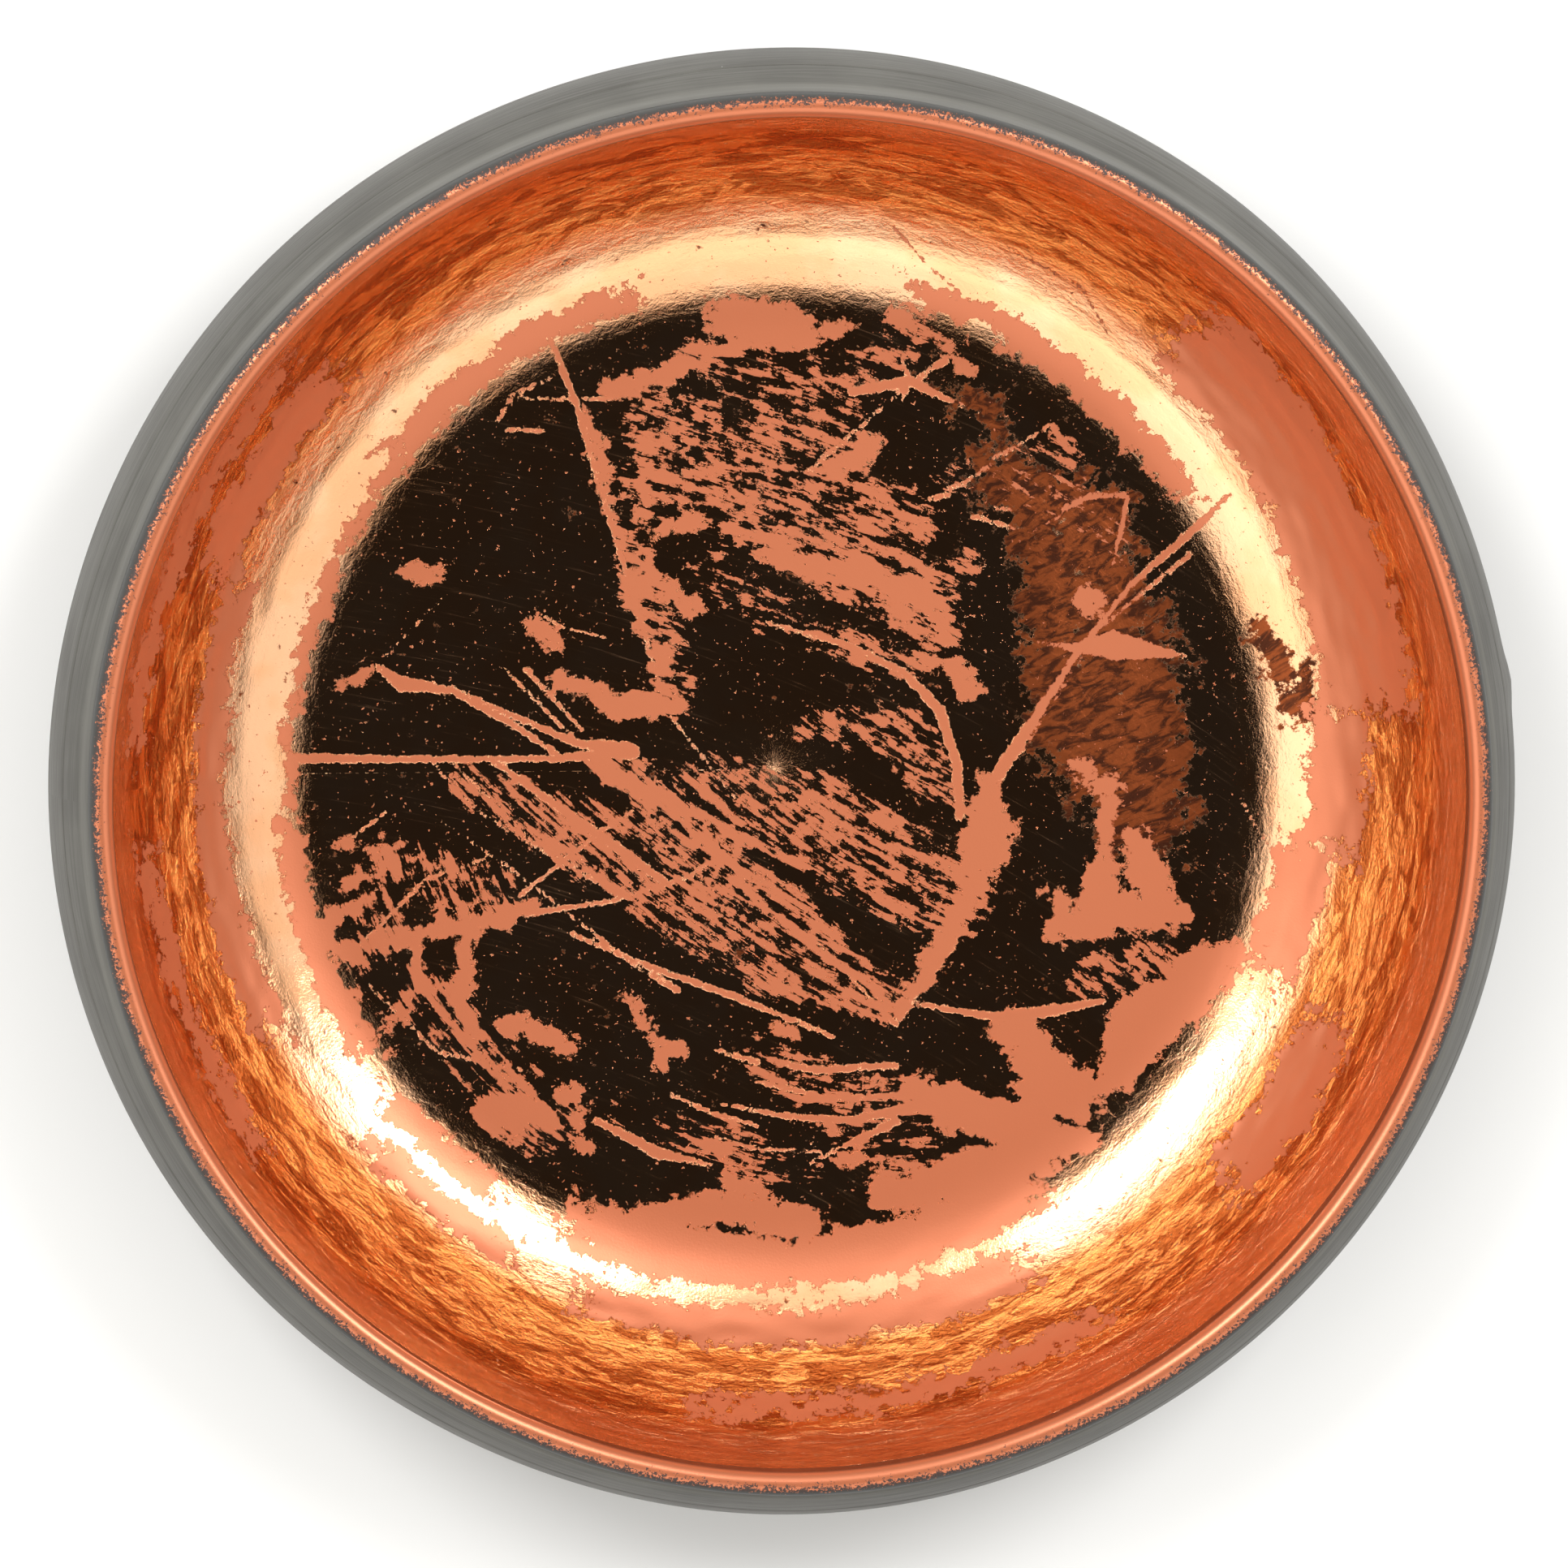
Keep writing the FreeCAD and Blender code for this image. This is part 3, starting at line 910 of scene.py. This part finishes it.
RUBS = (
    Rub(108, 140, 99.6, 104.5), Rub(140, 186, 99, 101.2), Rub(186, 214, 98.5, 104),
    Rub(34, 62, 98.4, 104), Rub(60, 74, 100.2, 104.5),
    Rub(246, 302, 97, 107), Rub(298, 328, 91, 97), Rub(220, 236, 102, 107),
    Rub(6, 47, 114.5, 131), Rub(138, 160, 119.5, 127),
    Rub(160, 206, 114, 120), Rub(222, 240, 111, 116), Rub(250, 296, 111.5, 118.5),
    Rub(318, 335, 120.5, 129.5), Rub(338, 352, 106, 116),
    Rub(140, 176, 131, 134.5), Rub(186, 214, 129, 132.5), Rub(262, 300, 128, 131),
    Rub(352, 366, 110, 121),
)
SMUDGES = tears(((1010, 270, 25), (1055, 210, 45), (1070, 130, 40)))
CRINKLED = tears(
    ((440, 620, 50), (630, 460, 140), (680, 120, 170), (760, -100, 110)),
    ((320, 800, 20), (460, 720, 30)),
)


class Sweep(enum.IntEnum):
    """Which brush sweep worked a zone."""

    UPPER = 0
    MIDDLE = 1
    LOWER = 2


@dataclass(frozen=True)
class Zone:
    """Where a brush thinned the leaf, and how bare it is there, above 0 for mostly bare."""

    area: Tear
    sweep: Sweep
    level: float
    edge: float = 5


def zones(sweep: Sweep, *worked: tuple) -> tuple[Zone, ...]:
    """Makes the zones of one sweep, each given as its level and then its places."""
    return tuple(Zone(tears(run)[0], sweep, level) for level, *run in worked)


ZONES = (
    *zones(
        Sweep.UPPER,
        (0.9, (-80, 500, 40), (80, 430, 70), (260, 380, 90), (360, 280, 40)),
        (-0.3, (-260, 710, 70), (84, 700, 90)),
        (-0.1, (-270, 600, 60), (40, 580, 80), (260, 500, 90)),
        (-0.2, (-310, 500, 40), (-200, 180, 60)),
        (-0.7, (-160, 840, 40), (140, 780, 70), (300, 900, 50)),
        (-0.2, (80, 280, 40), (280, 220, 50), (400, 420, 40)),
        (-1.4, (-140, 420, 60), (0, 320, 60)),
        (-1.7, (340, 600, 40), (560, 600, 80), (700, 460, 60)),
        (-0.4, (660, -440, 60), (800, -400, 60)),
    ),
    *zones(
        Sweep.MIDDLE,
        (0.9, (-380, 20, 30), (-250, -45, 55), (-120, -160, 45), (60, -300, 30)),
        (0, (-640, -20, 50), (-300, -180, 100), (0, -360, 130), (200, -470, 60)),
        (-0.1, (-140, -40, 80), (100, -120, 120), (340, -260, 100)),
        (-0.4, (60, 80, 40), (260, 80, 70), (360, -60, 60)),
    ),
    *zones(
        Sweep.LOWER,
        (-0.4, (-40, -600, 50), (220, -720, 90), (300, -840, 60)),
        (-1.2, (-300, -700, 60), (60, -840, 60)),
        (-0.9, (-860, -420, 40), (-780, -200, 70), (-580, -240, 60)),
        (-1, (-720, -460, 70), (-500, -740, 80)),
    ),
)


@dataclass(frozen=True)
class LeafMap:
    """Works out how torn and how crinkled the leaf is at every place."""

    whole: float = -3.9
    trim: float = 0.28
    flat_crinkle: float = 0.04
    corner_crinkle: float = 0.08
    wall_crinkle: float = 0.8
    patch_crinkle: float = 0.2
    patch_fade: float = 9
    dull_fade: float = 11
    ragged_spread: float = 0.3
    shard_edge: float = 1.5
    strays: tuple[tuple[float, float], ...] = ((9, 1.6), (3.2, 0.9))

    def crinkle(self, x: np.ndarray, y: np.ndarray) -> np.ndarray:
        """Strength of the leaf's wrinkles.

        Args:
            x: the places across, in millimetres.
            y: the places along.

        Returns:
            The strength at each, 0 to 1.
        """
        level = np.interp(np.hypot(x, y), (86, 97, 110, 121),
                          (self.flat_crinkle, self.corner_crinkle, self.corner_crinkle,
                           self.wall_crinkle))
        for patch in CRINKLED:
            share = np.clip(patch.depth(x, y) / self.patch_fade, 0, 1)
            level = np.maximum(level, share * self.patch_crinkle)
        return level

    def strayed(self, points: np.ndarray) -> np.ndarray:
        """Shifts places a little, so that torn edges wander.

        Args:
            points: the places, in millimetres.

        Returns:
            The shifted places in plan.
        """
        moved = np.empty((len(points), 2))
        for index, row in enumerate(points):
            shift = Vector()
            for length, reach in self.strays:
                shift += noise.noise_vector(Vector(row) / length) * reach
            moved[index] = row[0] + shift.x, row[1] + shift.y
        return moved

    def store(self, mesh: Mesh) -> None:
        """Writes the map to a mesh as two point attributes.

        Args:
            mesh: the sheet's mesh, in metres.
        """
        points = read_points(mesh) / MM
        x, y = points[:, 0], points[:, 1]
        strayed = self.strayed(points)
        stray_x, stray_y = strayed[:, 0], strayed[:, 1]
        ragged = np.full(len(x), self.whole)
        strokes = np.zeros((len(x), 4))
        for zone in ZONES:
            share = np.clip(zone.area.depth(stray_x, stray_y) / zone.edge + 0.5, 0, 1)
            ragged = np.maximum(ragged, self.whole + (zone.level - self.whole) * share)
            strokes[:, zone.sweep] = np.maximum(strokes[:, zone.sweep], share)
        for tear in (*RAGGED_TEARS, *RUBS):
            ragged = np.maximum(ragged, tear.depth(stray_x, stray_y) + self.ragged_spread)
        for shard in KEPT_SHARDS:
            ragged = np.minimum(ragged, -shard.depth(stray_x, stray_y) * self.shard_edge)
        clean = np.full(len(x), self.whole)
        for tear in CLEAN_TEARS:
            clean = np.maximum(clean, tear.depth(x, y) - self.trim)
        # Where the leaf is drawn dark red-brown and rougher: the crinkled patch, where the dark
        # colour is painted reflection, and the smudge.
        dull = np.zeros(len(x))
        for patch in (*CRINKLED, *SMUDGES):
            share = patch.depth(stray_x, stray_y) / self.dull_fade
            dull = np.maximum(dull, np.clip(share + 0.5, 0, 1))
        wear_and_painted_light = np.stack((clean, self.crinkle(x, y), ragged, dull), axis=1)
        write_attribute(mesh, "wear_and_painted_light", wear_and_painted_light)
        write_attribute(mesh, "strokes", strokes / np.maximum(strokes.sum(1, keepdims=True), 1))


def write_attribute(mesh: Mesh, name: str, values: np.ndarray) -> None:
    """Stores four numbers at each of a mesh's points."""
    layer = mesh.color_attributes.new(name=name, type="FLOAT_COLOR", domain="POINT")
    layer.data.foreach_set("color", values.ravel())


# The bowl's sub-assemblies.


@dataclass(frozen=True)
class TurnedBody:
    """The grey wooden body: a base board, four courses glued on it and a lip hoop."""

    shape: BowlShape
    shaping: HandShaping
    paint: Material
    steps: int = 320
    cell: float = 1.2 * MM
    joint_chamfer: float = 0.16 * MM
    ledge_shade: float = 1.3 * MM
    foot_chamfer: float = 0.8 * MM
    crest_chamfer: float = 0.35 * MM
    ridge_width: float = 0.5 * MM
    ridge_depth: float = 0.6 * MM

    def outer_side(self, bottom: float, top: float, first: float, last: float) -> Profile:
        """The outside between two heights, with its two edges taken off.

        Args:
            bottom: lower height.
            top: upper height.
            first: chamfer at the bottom.
            last: chamfer at the top.

        Returns:
            The profile from the bottom up.
        """
        count = max(2, round((top - bottom) / self.cell))
        low, high = bottom + first, top - last
        heights = [low + (high - low) * step / count for step in range(count + 1)]
        side = [Vector((self.shape.outside(z), 0, z)) for z in heights]
        under = Vector((self.shape.outside(bottom) - first, 0, bottom))
        over = Vector((self.shape.outside(top) - last, 0, top))
        return [under, *side, over]

    def inner_side(self, bottom: float, top: float) -> Profile:
        """The wooden inside between two heights, from the top down."""
        heights = [top + (bottom - top) * step / 4 for step in range(5)]
        return [Vector((self.shape.inside(z), 0, z)) for z in heights]

    def dress(self, name: str, bm: BMesh, chamfers: tuple[float, ...]) -> None:
        """Finishes one wooden piece.

        Args:
            name: the CAD node that it stands for.
            bm: its shape.
            chamfers: heights of its glued joints.
        """
        bmesh.ops.recalc_face_normals(bm, faces=bm.faces)
        piece = finish_piece(f"{name}_turned", bm, self.paint, (name,))
        points = read_points(piece.data)
        wear_and_painted_light = np.zeros((len(points), 4))
        for height in chamfers:
            wear_and_painted_light[:, 0] = np.maximum(wear_and_painted_light[:, 0], np.abs(points[:, 2] - height) < 0.01 * MM)
        # Painted shade on the top of the shoulder course round the lip's foot, fading out over
        # ledge_shade below it.
        below = self.shape.shoulder_height - points[:, 2]
        wear_and_painted_light[:, 1] = np.clip(1 - below / self.ledge_shade, 0, 1)
        reach = np.hypot(points[:, 0], points[:, 1])
        # Painted highlight on the shoulder's outer crest, which is kept free of the painted shade.
        highlit_ridge = reach > self.shape.outside(self.shape.shoulder_height) - self.ridge_width
        wear_and_painted_light[highlit_ridge, 1] = 0
        wear_and_painted_light[:, 2] = highlit_ridge & (below < self.ridge_depth)
        write_attribute(piece.data, "wear_and_painted_light", wear_and_painted_light)
        self.shaping.settle(piece.data, self.shape)

    def base(self) -> None:
        """Builds the base board with the bowl's level floor."""
        joint = self.shape.joints[0]
        side = self.outer_side(0, joint, self.foot_chamfer, self.joint_chamfer)
        wall = self.shape.lining(0, joint, LINING_CELL)
        middle = [Vector((0, 0, self.shape.floor_height)), Vector((0, 0, 0))]
        bm = bmesh.new()
        turn(bm, chain(bm, [middle[1], *side, *reversed(wall), middle[0]], False), self.steps)
        self.dress("base_board", bm, (joint,))

    def courses(self) -> None:
        """Builds the four courses of the wall, each a closed ring."""
        heights = (*self.shape.joints, self.shape.shoulder_height)
        names = ("wall_course_1", "wall_course_2", "wall_course_3", "shoulder_course")
        for name, bottom, top in zip(names, heights, heights[1:]):
            crest = name == names[-1]
            side = self.outer_side(bottom, top, self.joint_chamfer,
                                   self.crest_chamfer if crest else self.joint_chamfer)
            bm = bmesh.new()
            loop = chain(bm, side + self.inner_side(bottom, top), True)
            turn(bm, loop, self.steps)
            self.dress(name, bm, (bottom,) if crest else (bottom, top))

    def hoop(self) -> None:
        """Builds the lip hoop with its half-round crest."""
        shape = self.shape
        bead = shape.lip_width / 2 - shape.coat
        low = shape.shoulder_height
        crest = arc((shape.lip_middle, shape.lip_spring), bead, 0, math.pi, 16)
        foot = [Vector((shape.lip_middle - bead, 0, low)),
                Vector((shape.lip_middle + bead, 0, low))]
        bm = bmesh.new()
        turn(bm, chain(bm, crest + foot, True), self.steps)
        self.dress("lip_hoop", bm, ())

    def build(self) -> None:
        """Builds every wooden piece, from the table up."""
        self.base()
        self.courses()
        self.hoop()


@dataclass(frozen=True)
class CopperGround:
    """The copper-coloured coat on the inside of the bowl and over its lip."""

    shape: BowlShape
    shaping: HandShaping
    coat: Material
    edge_coat: Material
    steps: int = 320
    skirt: float = 0.35 * MM

    def inside(self) -> None:
        """Builds the coat on the floor and the wall, a thin closed shell."""
        shape = self.shape
        under = shape.lining(0, shape.shoulder_height, LINING_CELL)
        over = shape.lining(shape.coat, shape.shoulder_height, LINING_CELL)
        low = Vector((0, 0, shape.floor_height))
        high = Vector((0, 0, shape.floor_height + shape.coat))
        bm = bmesh.new()
        turn(bm, chain(bm, [low, *under, *reversed(over), high], False), self.steps)
        bmesh.ops.recalc_face_normals(bm, faces=bm.faces)
        piece = finish_piece("inside_ground", bm, self.coat, ("bowl_ground",))
        self.shaping.settle(piece.data, shape)

    def lip(self) -> None:
        """Builds the coat over the lip, which thins out on its outer side."""
        shape = self.shape
        bead = shape.lip_width / 2
        middle = (shape.lip_middle, shape.lip_spring)
        low = shape.shoulder_height
        foot = low + self.skirt
        outer = arc(middle, bead, 0, math.pi, 28)
        inner = arc(middle, bead - shape.coat, math.pi, 0, 28)
        side = [Vector((middle[0] + bead, 0, foot + (middle[1] - foot) * step / 5))
                for step in range(5)]
        ends = [Vector((middle[0] - bead, 0, low)), Vector((middle[0] - bead + shape.coat, 0, low))]
        last = [Vector((middle[0] + bead - shape.coat, 0, foot))]
        bm = bmesh.new()
        turn(bm, chain(bm, side + outer + ends + inner + last, True), self.steps)
        bmesh.ops.recalc_face_normals(bm, faces=bm.faces)
        piece = finish_piece("lip_ground_coat", bm, self.edge_coat,
                             ("lip_ground",))
        points = read_points(piece.data)
        away = np.hypot(points[:, 0], points[:, 1]) - middle[0]
        lift = points[:, 2] - middle[1]
        # Distance round the bead from its crest, in millimetres, which places the coat's speckled
        # edge, the painted shade on its outer side and the painted shadow on its inner side.
        round_part = bead * (math.pi / 2 - np.arctan2(np.maximum(lift, 0), away))
        wear_and_painted_light = np.zeros((len(points), 4))
        wear_and_painted_light[:, 0] = (round_part + np.where(away > 0, np.maximum(-lift, 0), 0)) / MM
        write_attribute(piece.data, "wear_and_painted_light", wear_and_painted_light)
        self.shaping.settle(piece.data, shape)

    def build(self) -> None:
        """Builds both parts of the coat."""
        self.inside()
        self.lip()


class Sheet(enum.Enum):
    """The four sheets of leaf on the floor."""

    WEST = "floor_leaf_west"
    NORTH = "floor_leaf_north"
    EAST = "floor_leaf_east"
    SOUTH = "floor_leaf_south"


@dataclass(frozen=True)
class LeafLining:
    """Thin copper leaf on the floor and the wall, in sheets that meet at torn seams."""

    shape: BowlShape
    shaping: HandShaping
    leaf: Material
    worn: LeafMap
    cell: float = 0.78 * MM
    thickness: float = 0.2 * MM
    steps: int = 720
    west_joint: Vector = Vector((-23 * MM, 12 * MM, 0))
    south_joint: Vector = Vector((24 * MM, -53 * MM, 0))
    wall_seams: tuple[float, ...] = (0, 40, 100, 165, 210, 260, 315, 360)
    north_seam: float = 106
    west_seam: float = 186
    east_seam: float = 58
    south_seam: float = 314
    swell: float = 0.10 * MM
    fold: float = 0.16 * MM
    ripple: float = 0.45 * MM
    swell_length: float = 38 * MM
    ripple_length: float = 13 * MM
    ripple_width: float = 3.6 * MM
    fold_length: float = 6.5 * MM
    crease_length: float = 2.6 * MM

    def cuts(self, sheet: Sheet) -> list[tuple[Vector, float]]:
        """A floor sheet's seams.

        Args:
            sheet: the sheet.

        Returns:
            A place on each seam, and the seam's direction in radians.
        """
        north = (self.west_joint, math.radians(self.north_seam))
        west = (self.west_joint, math.radians(self.west_seam))
        east = (self.south_joint, math.radians(self.east_seam))
        south = (self.south_joint, math.radians(self.south_seam))
        run = self.south_joint - self.west_joint
        middle = (self.west_joint, math.atan2(run.y, run.x))
        return {
            Sheet.WEST: [north, west],
            Sheet.NORTH: [north, middle, east],
            Sheet.EAST: [east, south],
            Sheet.SOUTH: [west, middle, south],
        }[sheet]

    def sheet_at(self, place: Vector) -> Sheet:
        """Finds the floor sheet at a place.

        Args:
            place: the place.

        Returns:
            The sheet.
        """
        off = place - self.west_joint
        bearing = math.degrees(math.atan2(off.y, off.x)) % 360
        if self.north_seam <= bearing <= self.west_seam:
            return Sheet.WEST
        off = place - self.south_joint
        bearing = math.degrees(math.atan2(off.y, off.x)) % 360
        if bearing >= self.south_seam or bearing <= self.east_seam:
            return Sheet.EAST
        run = self.west_joint - self.south_joint
        if bearing <= math.degrees(math.atan2(run.y, run.x)):
            return Sheet.NORTH
        return Sheet.SOUTH

    def floor_sheet(self, sheet: Sheet) -> None:
        """Builds one sheet of the floor, cut out of a level disc at its seams.

        Args:
            sheet: which sheet.
        """
        level = self.shape.leaf_height
        count = round(self.shape.floor_radius / self.cell)
        spoke = [Vector((self.shape.floor_radius * step / count, 0, level))
                 for step in range(count + 1)]
        bm = bmesh.new()
        turn(bm, chain(bm, spoke, False), self.steps)
        for place, bearing in self.cuts(sheet):
            across = Vector((-math.sin(bearing), math.cos(bearing), 0))
            bmesh.ops.bisect_plane(bm, geom=[*bm.verts, *bm.edges, *bm.faces],
                                   plane_co=place, plane_no=across, dist=0.002 * MM)
        other = [face for face in bm.faces if self.sheet_at(face.calc_center_median()) is not sheet]
        bmesh.ops.delete(bm, geom=other, context="FACES")
        self.lay(sheet.value, bm, "floor")

    def wall_sheet(self, number: int) -> None:
        """Builds one sheet of the wall, between two of its seams.

        Args:
            number: the sheet's number, from 1.
        """
        first, last = self.wall_seams[number - 1 : number + 1]
        lift = self.shape.coat + self.thickness
        profile = self.shape.lining(lift, self.shape.leaf_rim, self.cell)
        bm = bmesh.new()
        line = chain(bm, profile, False)
        bmesh.ops.rotate(bm, cent=(0, 0, 0), matrix=Matrix.Rotation(math.radians(first), 3, "Z"),
                         verts=bm.verts)
        turn(bm, line, round((last - first) * 2), math.radians(last - first))
        self.lay(f"wall_leaf_{number}", bm, "wall")

    def away(self, point: Vector) -> Vector:
        """The direction off the lining, towards the room in the bowl.

        Args:
            point: a point of the lining.

        Returns:
            The direction, of length 1.
        """
        radius = math.hypot(point.x, point.y)
        if radius <= self.shape.floor_radius:
            return UP
        centre = self.shape.wall_centre
        out = (centre[0] - radius) / radius
        return Vector((point.x * out, point.y * out, centre[1] - point.z)).normalized()

    def rise(self, point: Vector, crinkle: float) -> float:
        """How far the leaf stands off.

        Args:
            point: a point of the smooth sheet.
            crinkle: strength of the wrinkles there, 0 to 1.

        Returns:
            The distance.
        """
        slow = 0.5 + 0.5 * noise.noise(point / self.swell_length)
        radius = math.hypot(point.x, point.y)
        along = math.atan2(point.y, point.x) * self.shape.belly_radius / self.ripple_length
        ripple = noise.noise(Vector((along, radius / self.ripple_width,
                                     point.z / self.ripple_width)))
        on_wall = min(max((radius / self.shape.floor_radius - 1.1) * 5, 0), 1)
        folds = 1 - abs(noise.noise(point / self.fold_length)) * 2
        creases = 0.5 + 0.5 * noise.noise(point / self.crease_length)
        drawn = self.ripple * on_wall * (0.5 + 0.5 * ripple)
        return self.swell * slow + self.fold * crinkle * (0.6 * folds + 0.5 * creases) + drawn

    def lay(self, node: str, bm: BMesh, where: str) -> None:
        """Wrinkles a sheet, gives it its thickness and dresses it.

        Args:
            node: the CAD node that it stands for.
            bm: the sheet as a level or rounded surface.
            where: the word that its name starts with.
        """
        bm.normal_update()
        bm.faces.ensure_lookup_table()
        face = bm.faces[0]
        if face.normal.dot(self.away(face.calc_center_median())) < 0:
            bmesh.ops.reverse_faces(bm, faces=bm.faces)
        for edge in bm.edges:
            edge.smooth = not edge.is_boundary
        piece = finish_piece(f"{where}_sheet_{node.rsplit('_', 1)[1]}", bm, self.leaf,
                             (node,), 0)
        mesh = piece.data
        self.worn.store(mesh)
        points = read_points(mesh)
        crinkle = self.worn.crinkle(points[:, 0] / MM, points[:, 1] / MM)
        for index, row in enumerate(points):
            point = Vector(row)
            points[index] = point + self.away(point) * self.rise(point, float(crinkle[index]))
        write_points(mesh, points)
        self.shaping.settle(mesh, self.shape)
        shell = piece.modifiers.new("thickness", "SOLIDIFY")
        shell.thickness = self.thickness
        shell.offset = -1

    def build(self) -> None:
        """Lays the floor and then the wall."""
        for sheet in Sheet:
            self.floor_sheet(sheet)
        for number in range(1, len(self.wall_seams)):
            self.wall_sheet(number)


# Studio.


@dataclass(frozen=True)
class Softbox:
    """A square lamp that faces the bowl."""

    name: str
    bearing: float
    elevation: float
    size: float
    watts: float
    distance: float = 2

    def hang(self) -> None:
        """Puts the lamp in its place."""
        light = bpy.data.lights.new(self.name, "AREA")
        light.energy = self.watts
        light.size = self.size
        lamp = bpy.data.objects.new(self.name, light)
        round_z, lift = math.radians(self.bearing), math.radians(self.elevation)
        lamp.location = self.distance * Vector((
            math.cos(lift) * math.cos(round_z), math.cos(lift) * math.sin(round_z), math.sin(lift),
        ))
        lamp.rotation_euler = lamp.location.to_track_quat("Z", "Y").to_euler()
        bpy.context.scene.collection.objects.link(lamp)


@dataclass(frozen=True)
class Studio:
    """A pale floor, soft light all round with a dark ceiling patch, and the camera."""

    lens: float = 249
    distance: float = 2.2
    tilt: float = math.radians(8)
    bearing: float = math.atan2(0.83, -0.55)
    aim: Vector = Vector((-0.25 * MM, 0.05 * MM, 33 * MM))
    floor_size: float = 4
    patch: float = math.radians(25.4)
    patch_core: float = math.radians(23.6)
    strength: float = 1.5
    fall_across: float = 0.42
    warm: tuple = rgb(1, 0.98, 0.95)
    backdrop: tuple = rgb(0.776, 0.768, 0.73)
    softboxes: tuple[Softbox, ...] = (
        Softbox("right_softbox", 42, 50, 0.85, 22),
        Softbox("left_softbox", 136, 50, 0.75, 18),
    )

    def floor(self) -> None:
        """Lays the pale floor."""
        g = Graph("studio_floor")
        shade = g.noise(g.place(), 0.004, 2)
        colour = g.colour(shade, rgb(0.80, 0.80, 0.79), rgb(0.84, 0.84, 0.83))
        surface = g.surface({"Base Color": colour, "Roughness": 0.9}, shade, 0)
        bm = bmesh.new()
        bmesh.ops.create_circle(bm, cap_ends=True, segments=96, radius=self.floor_size)
        bmesh.ops.translate(bm, vec=(0, 0, -0.1 * MM), verts=bm.verts)
        mesh = bpy.data.meshes.new("studio_floor")
        bm.to_mesh(mesh)
        bm.free()
        mesh.materials.append(surface)
        plane = bpy.data.objects.new("studio_floor", mesh)
        bpy.context.scene.collection.objects.link(plane)

    def light(self) -> None:
        """Lights the room from all round, dark straight above and pale to look at."""
        g = Graph("studio", world=True)
        bpy.context.scene.world = g.owner
        direction = g.add("TexCoord", {}).outputs["Generated"]
        x, y, z = g.add("SeparateXYZ", {0: direction}).outputs
        opening = g.ramp(z, math.cos(self.patch), math.cos(self.patch_core), 1, 0.012)
        low = g.ramp(z, 0.26, 0.66, 0.10, 1)
        lean = g.plus(g.ramp(z, 0.24, 0.44, 0.42, -0.36), g.ramp(z, 0.62, 0.80, 0, 0.38))
        side = g.minus(g.plus(g.times(y, lean), 1), g.times(x, self.fall_across))
        level = g.times(g.times(opening, low), g.times(side, self.strength))
        room = g.add("Background", {"Color": self.warm, "Strength": level})
        pale = g.add("Background", {"Color": self.backdrop, "Strength": 1})
        seen = g.add("LightPath", {}).outputs["Is Camera Ray"]
        mixed = g.add("MixShader", {0: seen, 1: room.outputs[0], 2: pale.outputs[0]})
        g.add("OutputWorld", {0: mixed.outputs[0]})
        for softbox in self.softboxes:
            softbox.hang()

    def camera(self) -> None:
        """Sets the camera almost straight above, with a long lens."""
        data = bpy.data.cameras.new("camera")
        data.lens = self.lens
        data.clip_end = 20
        camera = bpy.data.objects.new("camera", data)
        back = Vector((
            math.sin(self.tilt) * math.cos(self.bearing),
            math.sin(self.tilt) * math.sin(self.bearing),
            math.cos(self.tilt),
        ))
        right = Vector((0, 1, 0)).cross(back).normalized()
        above = back.cross(right)
        camera.matrix_world = Matrix.LocRotScale(
            self.aim + back * self.distance,
            Matrix((right, above, back)).transposed(),
            None,
        )
        bpy.context.scene.collection.objects.link(camera)
        bpy.context.scene.camera = camera

    def build(self) -> None:
        """Sets up the whole studio."""
        self.floor()
        self.light()
        self.camera()
        bpy.context.scene.view_settings.view_transform = "Standard"


def main() -> None:
    """Builds the bowl and sets up the studio."""
    logging.basicConfig(level=logging.INFO, format="%(message)s")
    noise.seed_set(SEED)
    shape = BowlShape.from_frame()
    shaping = HandShaping()
    grey = GreyPaint()
    copper = CopperPaint()
    TurnedBody(shape, shaping, grey.material()).build()
    CopperGround(shape, shaping, copper.material(), copper.sprayed_edge(grey)).build()
    LeafLining(shape, shaping, CopperLeaf().material(), LeafMap()).build()
    Studio().build()


if __name__ == "__main__":
    main()
